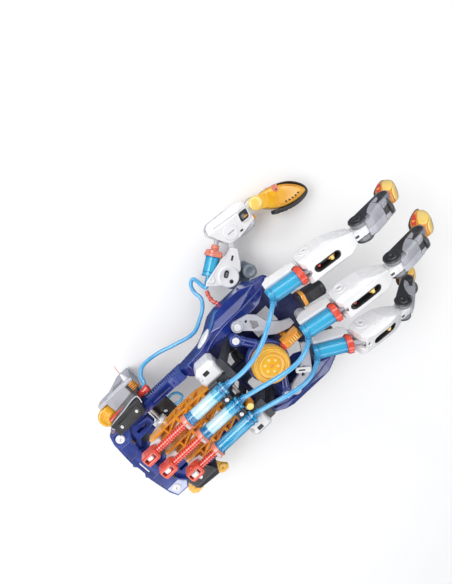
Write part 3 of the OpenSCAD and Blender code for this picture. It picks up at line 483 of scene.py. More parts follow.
def smooth_path(points, per=6, closed=False):
    """Catmull-Rom curve through the points, with per steps to a span."""
    points = [Vector(point) for point in points]
    n = len(points)
    curve = []
    for k in range(n if closed else n - 1):
        a, b, c, d = [points[(k + i) % n] if closed else points[min(max(k + i, 0), n - 1)]
                      for i in (-1, 0, 1, 2)]
        for i in range(per):
            u = i / per
            curve.append(0.5 * (2 * b + (c - a) * u + (2 * a - 5 * b + 4 * c - d) * u * u
                                + (3 * b - a - 3 * c + d) * u ** 3))
    if not closed:
        curve.append(points[-1].copy())
    return curve


# ---------------------------------------------------------- piece builders
def add_mesh(name, points, faces, material, smooth=True, weld=False, outward=True):
    mesh = bpy.data.meshes.new(name)
    mesh.from_pydata([tuple(point) for point in points], [], faces)
    mesh.validate()
    mesh.update()
    if smooth:
        for polygon in mesh.polygons:
            polygon.use_smooth = True
    piece = bpy.data.objects.new(name, mesh)
    bpy.context.scene.collection.objects.link(piece)
    mesh.materials.append(MAT[material])
    if outward:
        bm = bmesh.new()
        bm.from_mesh(mesh)
        if weld:
            bmesh.ops.remove_doubles(bm, verts=bm.verts, dist=1e-7)
            bmesh.ops.dissolve_degenerate(bm, dist=1e-7, edges=bm.edges)
        bmesh.ops.recalc_face_normals(bm, faces=bm.faces)
        bm.to_mesh(mesh)
        bm.free()
    return piece


def finish(piece, body, bevel=0.0, segs=3, sub=0):
    """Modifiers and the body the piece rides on."""
    if bevel:
        bevel_edges(piece, bevel, segs, angle=35.0)
    if sub:
        surface = piece.modifiers.new("sub", "SUBSURF")
        surface.levels = surface.render_levels = sub
    if body:
        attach(piece, body)
    return piece


def lathe(name, frame, profile, material, body="frame", sides=56):
    """Turned piece about the frame's z: profile is a closed list of (radius, height)."""
    m = len(profile)
    points = []
    faces = []
    for k in range(sides):
        angle = 2 * pi * k / sides
        points += [frame.place(r * cos(angle), r * sin(angle), h) for r, h in profile]
    for k in range(sides):
        k2 = (k + 1) % sides
        for j in range(m):
            j2 = (j + 1) % m
            if profile[j][0] >= 1e-6 or profile[j2][0] >= 1e-6:
                faces.append((k * m + j, k2 * m + j, k2 * m + j2, k * m + j2))
    return finish(add_mesh(name, points, faces, material, weld=True), body)


def slab(name, frame, outline, low, high, material, body="frame",
         bevel=0.5, segs=3, taper=0.0):
    """Plate over an x-y outline from low to high, drawn in at the top by taper."""
    n = len(outline)
    cx = sum(point[0] for point in outline) / n
    cy = sum(point[1] for point in outline) / n
    points = [frame.place(x, y, low) for x, y in outline]
    for x, y in outline:
        d = hypot(x - cx, y - cy) or 1.0
        points.append(frame.place(x - (x - cx) / d * taper, y - (y - cy) / d * taper, high))
    faces = [tuple(range(n - 1, -1, -1)), tuple(range(n, 2 * n))]
    faces += [(i, (i + 1) % n, n + (i + 1) % n, n + i) for i in range(n)]
    return finish(add_mesh(name, points, faces, material), body, bevel, segs)


def skin_faces(rings, n, closed=False, seam=0):
    """Quads between successive rings of n points; open skins are capped."""
    faces = []
    for k in range(rings if closed else rings - 1):
        k2 = (k + 1) % rings
        shift = 0 if k2 else seam
        faces += [(k * n + j, k * n + (j + 1) % n,
                   k2 * n + (j + 1 + shift) % n, k2 * n + (j + shift) % n) for j in range(n)]
    if not closed:
        faces += [tuple(range(n - 1, -1, -1)), tuple(range((rings - 1) * n, rings * n))]
    return faces


def tube(name, path, radius, material, body="frame", sides=20, closed=False,
         start=None, end=None):
    """Round bar along the path in mm. start and end override its end directions."""
    path = [Vector(point) for point in path]
    m = len(path)
    points = []
    u = None
    for k in range(m):
        before = path[k - 1] if (k or closed) else path[0]
        after = path[(k + 1) % m] if (k < m - 1 or closed) else path[-1]
        along = (after - before).normalized()
        if k == 0 and start is not None:
            along = start.normalized()
        if k == m - 1 and end is not None:
            along = end.normalized()
        if u is None:
            u = along.orthogonal().normalized()
        u = (u - along * u.dot(along)).normalized()
        v = along.cross(u)
        for j in range(sides):
            angle = 2 * pi * j / sides
            points.append((path[k] + (u * cos(angle) + v * sin(angle)) * radius) * MM)
    seam = 0
    if closed:  # the section may have turned on its way round
        seam = min(range(sides), key=lambda j: (points[j] - points[(m - 1) * sides]).length)
    piece = add_mesh(name, points, skin_faces(m, sides, closed, seam), material)
    return finish(piece, body)


def loft(name, frame, sections, material, body="frame", sub=1):
    """Closed skin through rings: sections is a list of (x, [(y, z), ...])."""
    points = [frame.place(x, y, z) for x, ring in sections for y, z in ring]
    faces = skin_faces(len(sections), len(sections[0][1]))
    return finish(add_mesh(name, points, faces, material), body, sub=sub)


def strip(name, frame, path, half_width, half_height, shoulder, body):
    """Rubber band along (x, z) points; its half sizes are functions of 0..1 along it."""
    path = smooth_path([(x, 0, z) for x, z in path], 5)
    m = len(path)
    section = ((-1, -shoulder), (-1, shoulder), (-0.8, 1), (0.8, 1),
               (1, shoulder), (1, -shoulder), (0.8, -1), (-0.8, -1))
    points = []
    for i, centre in enumerate(path):
        along = (path[min(i + 1, m - 1)] - path[max(i - 1, 0)]).normalized()
        normal = Vector((-along.z, 0, along.x))
        u = i / (m - 1)
        for across, up_part in section:
            point = centre + normal * (half_height(u) * up_part)
            points.append(frame.place(point.x, half_width(u) * across, point.z))
    piece = add_mesh(name, points, skin_faces(m, 8), "rubber")
    finish(piece, body, sub=1)


# --------------------------------------------------------- joint frames
def joint_point(name):
    return Vector(JOINTS[name]["pos_m"]) * 1000.0


def shell_frames(finger, next_joint, reach, drop=8):
    """Root and shell frames. The next joint lies reach along the shell's x, drop off it."""
    base = JOINTS[finger + "_base_knuckle"]
    origin = joint_point(finger + "_base_knuckle")
    y = Vector(base["axis"]).normalized()
    along = (joint_point(next_joint) - origin).normalized()
    x = (along * reach - along.cross(y) * drop) / hypot(reach, drop)
    shell = Frame(origin, x, y, x.cross(y))
    return shell.turn_y(-(3 - base["range_deg"][0])), shell


def finger_frames(finger):
    first, last = finger + "_first_knuckle", finger + "_last_knuckle"
    root, shell = shell_frames(finger, first, reach=64)
    x = (joint_point(last) - joint_point(first)).normalized()
    mid = Frame(joint_point(first), x, shell.y, x.cross(shell.y))
    tip = Frame(joint_point(last), mid.x, mid.y, mid.z)
    return root, shell, mid, tip.turn_y(-JOINTS[last]["range_deg"][0])


FRAMES = {finger: finger_frames(finger) for finger in FINGER_Y}
THUMB_ROOT, THUMB_SHELL = shell_frames("thumb", "thumb_last_knuckle", reach=48)
THUMB_TIP = Frame(joint_point("thumb_last_knuckle"),
                  THUMB_SHELL.x, THUMB_SHELL.y, THUMB_SHELL.z).turn_y(18)

# ------------------------------------------------------------ finger hoses
FINGER_FERRULE = [(2.7, 0.2), (3.5, 0.2), (3.75, 0.8), (3.75, 1.8), (3.3, 2.2), (3.3, 3.0),
                  (3.6, 3.4), (3.6, 5.0), (3.2, 5.6), (2.5, 5.7)]


def finger_hose(number, finger):
    """Hose from a finger cylinder's nozzle to the slanted nozzle on the finger's root."""
    root = FRAMES[finger][0]
    slant, nozzle = radians(18), 14
    start = Vector((148.02, FINGER_Y[finger], MASTER_Z))
    ahead = Vector((1, 0, 0))
    end = root.mm(-54 - nozzle * sin(slant), 0, 12 + nozzle * cos(slant))
    end_way = (root.x * -sin(slant) + root.z * cos(slant)).normalized()
    pull_start = start + Vector((46, 0, 18))
    pull_end = end + end_way * 30 + Vector((-10, 0, 0))
    path = []
    for i in range(41):
        t = i / 40
        u = 1 - t
        path.append(start * u ** 3 + pull_start * 3 * u * u * t
                    + pull_end * 3 * u * t * t + end * t ** 3)
    # both ends run on into their nozzles
    path[0] = start + Vector((-3.0, 0, 0))
    path[-1] = end - end_way * 3.0
    tube("finger_hose_%d" % number, path, 2.55, "hose_blue", sides=22,
         start=ahead, end=-end_way)
    for tag, point, way in (("a", start, ahead), ("b", end, end_way)):
        lathe("hose_ferrule_%d%s" % (number, tag), aimed(point, way, back=2.5),
              FINGER_FERRULE, "seal_blue", sides=36)


for number, finger in enumerate(FINGER_Y, 1):
    finger_hose(number, finger)
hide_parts("finger_hoses")

# ------------------------------------------------------------ finger shells
# x of the two end centres of each shell's slot
SLOT_X = {"index": (1.2, 24.2), "middle": (1.3, 30.7), "ring": (6.0, 32.6)}
# x and height of a shell's top face
ROOF = [(-13.0, 14.0), (-9.0, 19.0), (4.0, 21.0), (28.0, 20.6), (44.0, 18.4), (51.5, 16.6)]
HINGE_BOSS = [(0.0, -1.2), (7.6, -1.2), (7.9, 0.2), (7.2, 1.0), (5.9, 1.2), (5.5, 0.5),
              (2.6, 0.4), (2.2, 1.1), (0.0, 1.2)]
FLANK_RIB = ((9, 16.2, 14.0), (20, 16.0, 13.4), (30, 14.4, 12.4), (40, 12.0, 11.0),
             (48, 9.6, 9.4))
LINK_RING = [(-2.7, 7.8), (-2.9, 12.0), (-1.9, 14.4), (0.0, 15.2), (1.9, 14.4), (2.9, 12.0),
             (2.7, 7.8), (0.0, 7.7)]  # y, z
LINK_BASE_Z = 7.8


def roof(x):
    for (x0, z0), (x1, z1) in zip(ROOF, ROOF[1:]):
        if x <= x1:
            return z0 + (z1 - z0) * (x - x0) / (x1 - x0)
    return ROOF[-1][1]


def slot_outline(x0, x1, r, steps=12):
    """Round-ended slot with five points along each straight."""
    outline = []
    for centre, other, start, y in ((x0, x1, pi / 2, -r), (x1, x0, -pi / 2, r)):
        for i in range(steps + 1):
            angle = start + pi * i / steps
            outline.append((centre + r * cos(angle), r * sin(angle)))
        outline += [(centre + (other - centre) * i / 6, y) for i in range(1, 6)]
    return outline


def link_ring(width, height, z=LINK_BASE_Z):
    return [(y * width, z + (ring_z - LINK_BASE_Z) * height) for y, ring_z in LINK_RING]


def finger_slot(finger, shell, body):
    x0, x1 = SLOT_X[finger]
    # dark rim round the slot: five loops from the inner foot over to the outer foot
    loops = ((3.78, -1.1), (3.78, 0.02), (4.4, 0.34), (5.0, 0.22), (5.0, -0.7))
    points = [shell.place(x, y, roof(x) + rise)
              for r, rise in loops for x, y in slot_outline(x0, x1, r)]
    q = len(points) // 5
    faces = [(k * q + i, k * q + (i + 1) % q, (k + 1) % 5 * q + (i + 1) % q, (k + 1) % 5 * q + i)
             for i in range(q) for k in range(5)]
    finish(add_mesh(finger + "_slot_rim", points, faces, "dark_core"), body,
           bevel=0.1, segs=2)
    tube(finger + "_slot_bead",
         [shell.mm(x, y, roof(x) - 0.12) for x, y in slot_outline(x0, x1, 5.45)],
         0.42, "white_shell", body, sides=10, closed=True)
    # dark tub that lines the slot
    tub_x = max(x0, 3.2)
    inner, outer = slot_outline(tub_x, x1, 3.72), slot_outline(tub_x, x1, 4.12)
    points = [shell.place(x, y, roof(x) - 0.55) for x, y in outer + inner]
    points += [shell.place(x, y, 7.6) for x, y in inner]
    points += [shell.place(x, y, 7.2) for x, y in outer]
    faces = []
    for i in range(q):
        j = (i + 1) % q
        faces += [(i, j, q + j, q + i), (q + i, q + j, 2 * q + j, 2 * q + i),
                  (3 * q + i, 3 * q + j, j, i)]
    faces += [tuple(2 * q + i for i in range(q)), tuple(3 * q + i for i in range(q - 1, -1, -1))]
    tub = add_mesh(finger + "_slot_tub", points, faces, "dark_core", smooth=False, outward=False)
    finish(tub, body, bevel=0.12, segs=2)
    # link inside the slot: dark arch, amber tongue, yellow eye and red boss
    back = tub_x - 1.0
    loft(finger + "_slot_link", shell,
         [(back, link_ring(0.8, 0.7)), (back + 1.5, link_ring(1.0, 1.0)),
          ((x0 + x1) / 2, link_ring(0.95, 1.25)), (x1 - 5, link_ring(1.0, 1.05)),
          (x1 - 3, link_ring(0.75, 0.8))], "charcoal", body, sub=2)
    loft(finger + "_slot_tongue", shell,
         [(x1 - 9.5, link_ring(0.75, 1.35, 8.6)), (x1 - 7, link_ring(0.95, 1.5, 8.4)),
          (x1 - 2.5, link_ring(0.95, 1.4, 8.2)), (x1 + 1.5, link_ring(0.7, 0.9, 8.0))],
         "amber", body, sub=2)
    lathe(finger + "_slot_eye", shell.at(x1 - 5.0, 0, 18.0).side(),
          [(0.0, -2.7), (2.0, -2.7), (2.4, -2.2), (2.4, 2.2), (2.0, 2.7), (0.0, 2.7)],
          "tip_yellow", body, sides=28)
    lathe(finger + "_slot_boss", shell.at(back + 1.2, -0.4, 15.6),
          [(0.0, -1.0), (1.9, -1.0), (2.1, 0.5), (1.7, 1.6), (0.8, 2.0), (0.0, 2.05)],
          "red", body, sides=28)


def finger_shell(finger, shell, body):
    for side, tag in SIDES:
        boss = shell.at(0, side * 16.1, 1.5).side(side)
        lathe("%s_hinge_boss_%s" % (finger, tag), boss, HINGE_BOSS, "white_shell", body, sides=48)
        slab("%s_hinge_slot_%s" % (finger, tag), boss.at(0, 0, 0.9), centred(1.7, 0.45, 0.4, 4),
             0, 0.45, "mid_grey", body, bevel=0.1, segs=2)
    for side, tag in SIDES:
        tube("%s_flank_rib_%s" % (finger, tag), shell.path(mirror(FLANK_RIB, side)), 0.7,
             "white_shell", body, sides=12)
    slab(finger + "_neck_block", shell.at(56.5, 0, 12.6), rounded(-5.6, -5.0, 5.2, 5.0, 1.4),
         0.0, 4.8, "white_shell", body, bevel=0.8, taper=0.4)
    slab(finger + "_neck_slot", shell.at(53.2, 0, 17.0), centred(2.3, 1.5, 1.2), 0.0, 0.7,
         "dark_core", body, bevel=0.15, segs=2)
    # underside: pad and four screws
    slab(finger + "_sole", shell.at(16, 0, -6.4), rounded(-11, -8, 17, 8, 4), -1.0, 0.8,
         "rubber", body)
    screws = ((2, 10.5, -7.2), (2, -10.5, -7.2), (34, 7.5, -4.6), (34, -7.5, -4.6))
    for number, place in enumerate(screws, 1):
        lathe("%s_sole_screw_%d" % (finger, number), shell.at(*place),
              [(0.0, -0.9), (1.6, -0.9), (2.1, -0.4), (2.1, 1.2), (0.0, 1.2)],
              "steel", body, sides=24)


# ------------------------------------------------------- finger middle links
CHEEK = [(0.0, -1.5), (9.7, -1.5), (10.0, -0.6), (9.6, 0.5), (8.6, 0.9), (7.9, 0.4), (5.4, 0.3),
         (5.0, 0.9), (4.2, 1.3), (2.6, 1.3), (2.2, 0.6), (0.0, 0.5)]
CHEEK_END = [(0.0, -1.0), (6.6, -1.0), (6.8, -0.3), (6.2, 0.5), (3.2, 0.6), (2.9, 0.2),
             (0.0, 0.2)]
CHEEK_Y = 12.3
FLANK = ((3.0, 8.2), (12.0, 7.0), (24.0, 7.0), (40.0, 6.6), (44.0, 3.0), (44.0, -3.0),
         (40.0, -6.6), (22.0, -7.8), (3.0, -8.4), (7.5, 0.0))  # x, z
# x, top z, lower edge z, width factor
ROOF_STATIONS = ((1.2, 10.6, 8.9, 0.80), (2.4, 11.3, 8.8, 0.90), (9.4, 11.9, 8.4, 0.96),
                 (11.2, 11.9, 5.0, 1.0), (18.0, 11.7, 0.8, 1.0), (26.8, 11.2, -2.6, 1.0),
                 (27.6, 10.9, -2.6, 0.985))
PRONG_STATIONS = ((28.4, 10.7, -2.6, 0.985), (29.2, 10.9, -2.9, 1.0), (36.0, 9.8, -3.4, 0.98),
                  (39.4, 8.9, -2.6, 0.95), (40.4, 8.2, -1.8, 0.93))


def roof_section(x, top, low, k):
    edge = 13.5 * k if low < 8 else 11.6 * k
    return x, [(0.14, top + 0.1), (6.0 * k, top), (10.4 * k, top - 0.5),
               (edge - 0.8, max(low + 1.0, top - 2.6)), (edge, low + 0.6), (edge - 0.4, low),
               (edge - 1.3, low + 0.1), (10.6 * k, 8.3), (0.14, 7.9)]


def prong_section(x, top, low, k):
    return x, [(4.9 * k, top), (9.6 * k, top - 0.2), (12.2 * k, top - 2.0),
               (13.3 * k, low + 0.6), (12.9 * k, low), (11.9 * k, low + 0.1),
               (9.8 * k, 7.4), (4.9 * k, 7.4)]


def finger_mid(finger, mid, body):
    for side, tag in SIDES:
        lathe("%s_cheek_%s" % (finger, tag), mid.at(0, side * CHEEK_Y, 0).side(side), CHEEK,
              "charcoal", body)
        lathe("%s_cheek_end_%s" % (finger, tag), mid.at(42, side * CHEEK_Y, 0).side(side),
              CHEEK_END, "charcoal", body, sides=44)
        slab("%s_flank_%s" % (finger, tag), mid.at(0, side * 11.6, 0).side(side),
             side_view(FLANK, side), -1.0, 1.1, "charcoal", body)
    # two mouldings, mid grey and pale, that meet at a seam and fold over the flanks
    for (side, tag), finish_name, slot in zip(SIDES, ("roof_grey", "light_grey"),
                                              ("mid_grey", "light_grey")):
        for part, section, stations, width in (
                ("roof", roof_section, ROOF_STATIONS, 0.45),
                ("prong", prong_section, PRONG_STATIONS, 0.5)):
            sections = mirror_rings([section(*station) for station in stations], side)
            piece = loft("%s_%s_%s" % (finger, part, tag), mid, sections, finish_name, body,
                         sub=0)
            bevel_edges(piece, width, segs=2, angle=32, weight=50)
    slab(finger + "_front_slot", mid.at(32.5, 0, 8.0), centred(5.4, 4.2, 1.5), 0.0, 1.9,
         "dark_core", body, bevel=0.3)
    arch = [mid.mm(38.5, 8.4 * cos(pi * i / 12), 6.2 + 4.6 * sin(pi * i / 12))
            for i in range(13)]
    tube(finger + "_front_arch", arch, 2.3, "charcoal", body, sides=18)


# ------------------------------------------------------------ fingertips
# x, half width, top z, bottom z, corner size
TIP_BODY = ((8.6, 7.6, 6.2, -5.6, 2.2), (9.6, 9.3, 8.0, -7.4, 2.2), (16, 9.8, 11.2, -9.6, 2.2),
            (24, 9.8, 11.4, -9.8, 2.2), (32, 8.9, 9.0, -8.8, 2.2), (40, 7.3, 4.6, -7.0, 1.9),
            (45.4, 5.0, -0.6, -5.6, 1.2), (47.4, 3.2, -2.6, -4.6, 0.6))
# x, lower half width and z, upper half width and z, crest z, belly z
TIP_PLATE = ((9.4, 8.2, 8.0, 8.4, 9.4, 9.9, 7.4), (16, 8.8, 10.4, 9.0, 12.0, 12.6, 9.6),
             (25, 8.7, 10.4, 8.9, 12.0, 12.5, 9.6), (33, 7.8, 7.8, 8.0, 9.4, 9.9, 7.0),
             (41, 5.9, 3.3, 6.0, 4.7, 5.1, 2.6), (45.2, 4.0, 0.1, 4.1, 1.1, 1.4, -0.3))
TIP_NECK = ((4.0, 4.6, -5.8, 4.9, 5.8, 6.2, -6.2), (10.5, 5.0, -6.8, 5.2, 6.9, 7.2, -7.0))
# x, ring of (y, z)
TIP_SIDE = [
    (10.4, [(8.2, 8.6), (9.8, 6.8), (10.1, 1.4), (9.6, 0.4), (8.6, 3.0), (7.6, 7.6)]),
    (16, [(8.6, 11.4), (10.5, 9.0), (11.1, 0.8), (10.6, -0.6), (9.0, 3.0), (7.8, 10.0)]),
    (25, [(8.6, 11.4), (10.5, 8.8), (11.1, -0.4), (10.6, -1.8), (9.0, 2.4), (7.8, 10.0)]),
    (33, [(7.6, 8.8), (9.4, 6.2), (9.9, -0.8), (9.5, -1.9), (8.0, 1.6), (6.8, 7.6)]),
    (41, [(5.6, 4.4), (7.2, 2.4), (7.6, -2.2), (7.2, -2.8), (6.0, -0.4), (4.8, 3.2)])]
TIP_INSERT = ((12.4, -1.6), (20, -2.0), (29, -3.0), (33, -4.4), (29, -6.6), (20, -7.6),
              (13.0, -6.4))  # x, z
CLAW = ((11, -8.6), (20, -10.0), (31, -9.0), (41, -6.6), (46.8, -4.2), (47.6, -1.6))  # x, z


def tip_section(x, w, top, low, c):
    return x, [(-w, low + c), (-w, top - c), (-w + c, top), (0, top + 0.25), (w - c, top),
               (w, top - c), (w, low + c), (w - c, low), (0, low - 0.2), (-w + c, low)]


def six_point_section(x, low_w, low_z, top_w, top_z, crest, belly):
    return x, [(-low_w, low_z), (-top_w, top_z), (0, crest), (top_w, top_z), (low_w, low_z),
               (0, belly)]


def finger_tip(finger, tip, body):
    """Amber core with pale top and side plates, red inserts and a rubber claw."""
    core = loft(finger + "_tip_body", tip, [tip_section(*row) for row in TIP_BODY],
                "amber", body, sub=2)
    loft(finger + "_tip_plate", tip, [six_point_section(*row) for row in TIP_PLATE],
         "tip_yellow", body, sub=2)
    for side, tag in SIDES:
        loft("%s_tip_side_%s" % (finger, tag), tip, mirror_rings(TIP_SIDE, side),
             "tip_yellow", body, sub=2)
        slab("%s_tip_insert_%s" % (finger, tag), tip.at(0, side * 9.6, 0).side(side),
             side_view(TIP_INSERT, side), -0.9, 0.75, "red", body)
        lathe("%s_tip_rivet_%s" % (finger, tag), tip.at(19, side * 10.2, -4.8).side(side),
              [(0.0, -0.6), (1.9, -0.6), (2.1, 0.1), (1.5, 0.7), (0.0, 0.9)],
              "amber", body, sides=28)
    # the claw runs along the underside and turns up round the point
    strip(finger + "_tip_claw", tip, CLAW, lambda u: 8.4 * (1 - 0.62 * u) + 0.4,
          lambda u: 1.7 * (1 - 0.35 * u), shoulder=0.6, body=body)
    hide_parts(finger + "_tip")
    lathe(finger + "_tip_hinge", tip.side(),
          [(2.1, -5.3), (5.6, -5.3), (6.9, -4.6), (7.1, -3.6), (7.1, 3.6), (6.9, 4.6),
           (5.6, 5.3), (2.1, 5.3)], "amber", body, sides=48)
    loft(finger + "_tip_neck", tip, [six_point_section(*row) for row in TIP_NECK],
         "amber", body)


for finger, (_, shell, mid, tip) in FRAMES.items():
    finger_slot(finger, shell, finger + "_finger")
    finger_shell(finger, shell, finger + "_finger")
    finger_mid(finger, mid, finger + "_mid")
    finger_tip(finger, tip, finger + "_end")

# ------------------------------------------------- round disc above the palm
KNOB = WORLD.at(194, 0, 0)
lathe("knob_face", KNOB,
      [(0.0, 59.5), (15.3, 59.5), (15.3, 60.0), (14.6, 60.35), (10.0, 60.5), (4.0, 60.6),
       (0.0, 60.6)], "yellow", "knob", sides=96)
lathe("knob_lip", KNOB,
      [(15.4, 59.6), (15.9, 61.1), (17.0, 61.7), (19.0, 61.6), (20.3, 60.9), (20.3, 59.4),
       (16.0, 59.0)], "yellow", "knob", sides=96)
tube("knob_ring", KNOB.arc(12.4, 60.5, range(0, 360, 5)), 0.5, "tip_yellow", "knob",
     sides=10, closed=True)
for i in range(6):
    angle = radians(15 + 60 * i)
    lathe("knob_pip_%d" % (i + 1), KNOB.at(7.4 * cos(angle), 7.4 * sin(angle), 60.45),
          [(0.0, -0.5), (1.7, -0.5), (1.75, 0.1), (1.3, 0.65), (0.6, 0.85), (0.0, 0.9)],
          "tip_yellow", "knob", sides=28)
tube("knob_arc", KNOB.arc(9.9, 60.5, range(-70, 75, 6)), 0.4, "amber", "knob", sides=8)
lathe("knob_centre", KNOB,
      [(0.0, 60.3), (2.6, 60.3), (2.7, 60.8), (2.1, 61.1), (1.5, 60.9), (0.0, 60.9)],
      "amber", "knob", sides=40)
for i in range(36):
    slab("knob_grip_%02d" % (i + 1), KNOB.outward(21.5, 53.0, 2 * pi * i / 36),
         centred(0.75, 4.6, 0.6, 4), -0.5, 0.55, "yellow", "knob", bevel=0.2, segs=2)
lathe("knob_collar_ring", KNOB,
      [(22.2, 46.0), (24.6, 46.0), (24.9, 46.8), (24.2, 47.5), (22.6, 47.5)],
      "blue_shell", sides=96)

# ------------------------------------------- cross arms beside the disc
ARM_X, ARM_Y, ARM_Z, ARM_YAW = 183.5, 45.5, 41.6, radians(58.7)
for side, tag in SIDES:
    arm_way = Vector((cos(ARM_YAW), -side * sin(ARM_YAW), 0))
    up_way = Vector((0, 0, 1))
    arm = Frame((ARM_X, ARM_Y * side, ARM_Z), up_way, arm_way.cross(up_way), arm_way)
    for number, (along, r) in enumerate(((6.6, 6.2), (9.4, 5.9), (24.0, 6.1)), 1):
        lathe("arm_band_%s%d" % (tag, number), arm.at(0, 0, along),
              [(5.0, -1.0), (r - 0.3, -1.0), (r, -0.6), (r, 0.6), (r - 0.3, 1.0), (5.0, 1.0)],
              "blue_shell", sides=40)
    lathe("arm_boss_" + tag, WORLD.at(ARM_X, ARM_Y * side, 0),
          [(5.0, 46.2), (6.4, 46.2), (6.9, 46.8), (6.9, 48.1), (6.3, 48.7), (5.4, 48.9),
           (4.9, 48.4)], "blue_shell", sides=48)
    lathe("link_boss_" + tag, WORLD.at(195, 53 * side, 0),
          [(4.9, 39.6), (6.6, 39.6), (6.9, 40.1), (6.7, 40.7), (5.6, 41.0), (5.0, 40.7)],
          "light_grey", sides=48)

# ------------------------------------------------ rear plate and rails
CORNER_PAD = ((-2.0, 41.0), (16.0, 40.6), (22.2, 49.6), (17.0, 56.0), (2.0, 56.0), (-1.0, 46.0))
CORNER_CAP = [(0.0, 27.2), (5.3, 27.2), (5.5, 28.0), (5.1, 29.0), (4.2, 29.7), (3.9, 29.3),
              (2.3, 29.2), (2.0, 29.8), (0.0, 29.9)]
CAP_X, CAP_Y = 7.5, 46.8
FLANGE_BEAD = ((-5.6, 14.5, 26.9), (-4.2, 28.0, 26.9), (-2.8, 40.0, 26.9))
FLANGE_PANEL = ((-3.6, 17), (6.5, 17), (10.5, 24), (11.5, 37), (-1.6, 37.6), (-2.8, 26))
# x from, x to, |y|, half width, corner radius, top z
RAIL_RIB = {"l": (94.0, 108.0, 51.2, 1.3, 0.9, 24.0), "r": (26.0, 58.0, 52.4, 1.1, 0.7, 22.9)}
for side, tag in SIDES:
    # the right corner pad is lavender, a painted reflection on the blue plastic
    slab("corner_pad_" + tag, WORLD, [(x, side * y) for x, y in CORNER_PAD], 26.6, 27.9,
         "blue_shell" if side > 0 else "lavender", bevel=0.9, segs=4,
         taper=0.6)
    lathe("corner_cap_" + tag, WORLD.at(CAP_X, CAP_Y * side, 0), CORNER_CAP, "white_shell",
          sides=48)
    slab("corner_cap_slot_" + tag,
         Frame((CAP_X, CAP_Y * side, 29.8), (0.7, 0.7, 0), (-0.7, 0.7, 0), (0, 0, 1)),
         centred(1.5, 0.35, 0.3, 3), 0, 0.3, "mid_grey", bevel=0.1, segs=2)
    tube("flange_bead_" + tag, smooth_path(mirror(FLANGE_BEAD, side)), 0.8, "blue_shell",
         sides=12)
    slab("flange_panel_" + tag, WORLD, [(x, side * y) for x, y in FLANGE_PANEL], 26.6, 27.5,
         "blue_shell", bevel=0.6, taper=0.5)
    slab("flange_vent_" + tag, WORLD,
         rounded(13.2, side * 33.5 - 4.0, 15.8, side * 33.5 + 4.0, 1.0), 22.3, 27.15,
         "dark_core", bevel=0.2)
    x0, x1, y, half, r, top = RAIL_RIB[tag]
    slab("rail_rib_" + tag, WORLD, rounded(x0, side * y - half, x1, side * y + half, r),
         21.6, top, "blue_shell", bevel=0.4)
slab("flange_mark", WORLD, centred(0.7, 8.2, 0.6), 24.5, 27.1, "white_shell",
     bevel=0.15, segs=2)
# tray between the rails, with slots and ribs
slab("rear_tray", WORLD, [(11.4, -41), (11.4, 41), (30, 41), (38, 30), (38, -30), (30, -41)],
     8.0, 11.9, "blue_shell", bevel=0.8)
for number, y in enumerate((-33, -20, -7, 7, 20, 33), 1):
    slab("rear_tray_slot_%d" % number, WORLD, rounded(16.5, y - 3.4, 28.5, y + 3.4, 1.2),
         11.2, 12.15, "dark_core", bevel=0.2, segs=2)
for number, y in enumerate((-13.5, 13.5), 1):
    slab("rear_tray_rib_%d" % number, WORLD, rounded(13.0, y - 1.0, 36.0, y + 1.0, 0.7),
         11.5, 14.4, "blue_shell")

# ------------------------------------------- wing necks and corner blocks
# x, inner y, width, low z, high z
NECK_ANCHOR = ((143, 57.6, 2.2, 9.5, 20.0), (146, 57.2, 4.2, 6.0, 24.5),
               (155, 60.0, 5.4, 3.5, 27.5), (163, 62.6, 4.8, 4.5, 27.0),
               (168.5, 66.0, 2.4, 8.5, 21.0))
BLOCK_SEAM = ((125.2, 37.5), (129.5, 32.4), (146.5, 32.4), (150.8, 36.0), (150.8, 49.4),
              (147.0, 52.8), (131.0, 52.8), (125.2, 47.6))
for side, tag in SIDES:
    sections = []
    for x, y0, width, z0, z1 in NECK_ANCHOR:
        y1 = y0 + width
        middle = (z0 + z1) / 2
        sections.append((x, [(y0, z0), (y1, z0 + 3), (y1 + 0.6, middle), (y1, z1 - 3), (y0, z1),
                             (y0 - 1.5, middle)]))
    loft("neck_anchor_" + tag, WORLD, mirror_rings(sections, side), "white_shell", sub=2)
for side, tag in SIDES:
    slab("block_notch_" + tag, WORLD,
         [(x + 137.0, side * (y + 45.6)) for x, y in centred(3.6, 2.5, 1.0)],
         58.6, 60.2, "dark_core", bevel=0.25)
    tube("block_seam_" + tag,
         smooth_path([(x, side * y, 33.0) for x, y in BLOCK_SEAM], 4, closed=True),
         0.45, "light_grey", sides=8, closed=True)

# ------------------------------------------------- bridge, pins and blocks
TENSION = WORLD.at(147, -13, 60)
lathe("tension_pin", TENSION,
      [(0.0, 9.6), (3.9, 9.6), (4.1, 10.2), (3.4, 10.9), (2.2, 11.0), (1.6, 10.3), (0.0, 10.3)],
      "tip_yellow", sides=40)
slab("tension_patch", TENSION, rounded(-5.6, -2.0, -3.6, 2.0, 0.4), 3.2, 8.0, "light_grey",
     bevel=0.3)
for number, y in ((2, 12.0), (3, -12.0)):
    slab("bridge_clip_%d" % number, WORLD, rounded(129.0, y - 4.2, 140.5, y + 4.2, 1.2),
         60.0, 71.5, "charcoal", bevel=0.9)
    lathe("bridge_screw_%d" % number, WORLD.at(134.8, y, 71.5),
          [(0.0, -0.5), (2.5, -0.5), (2.7, 0.2), (2.2, 0.9), (1.2, 1.1), (0.9, 0.5), (0.0, 0.5)],
          "steel", sides=28)
PALM_BLOCK = yawed((281, 24, 41), -12)
loft("palm_block_band", PALM_BLOCK,
     [(x, [(-9.1 * k, -6.6), (-9.1 * k, 5.2), (-5.4 * k, 9.5 * k), (5.4 * k, 9.5 * k),
           (9.1 * k, 5.2), (9.1 * k, -6.6)])
      for x, k in ((-12.6, 0.96), (-12.0, 1.0), (-8.6, 1.0), (-8.0, 0.96))], "amber", sub=0)
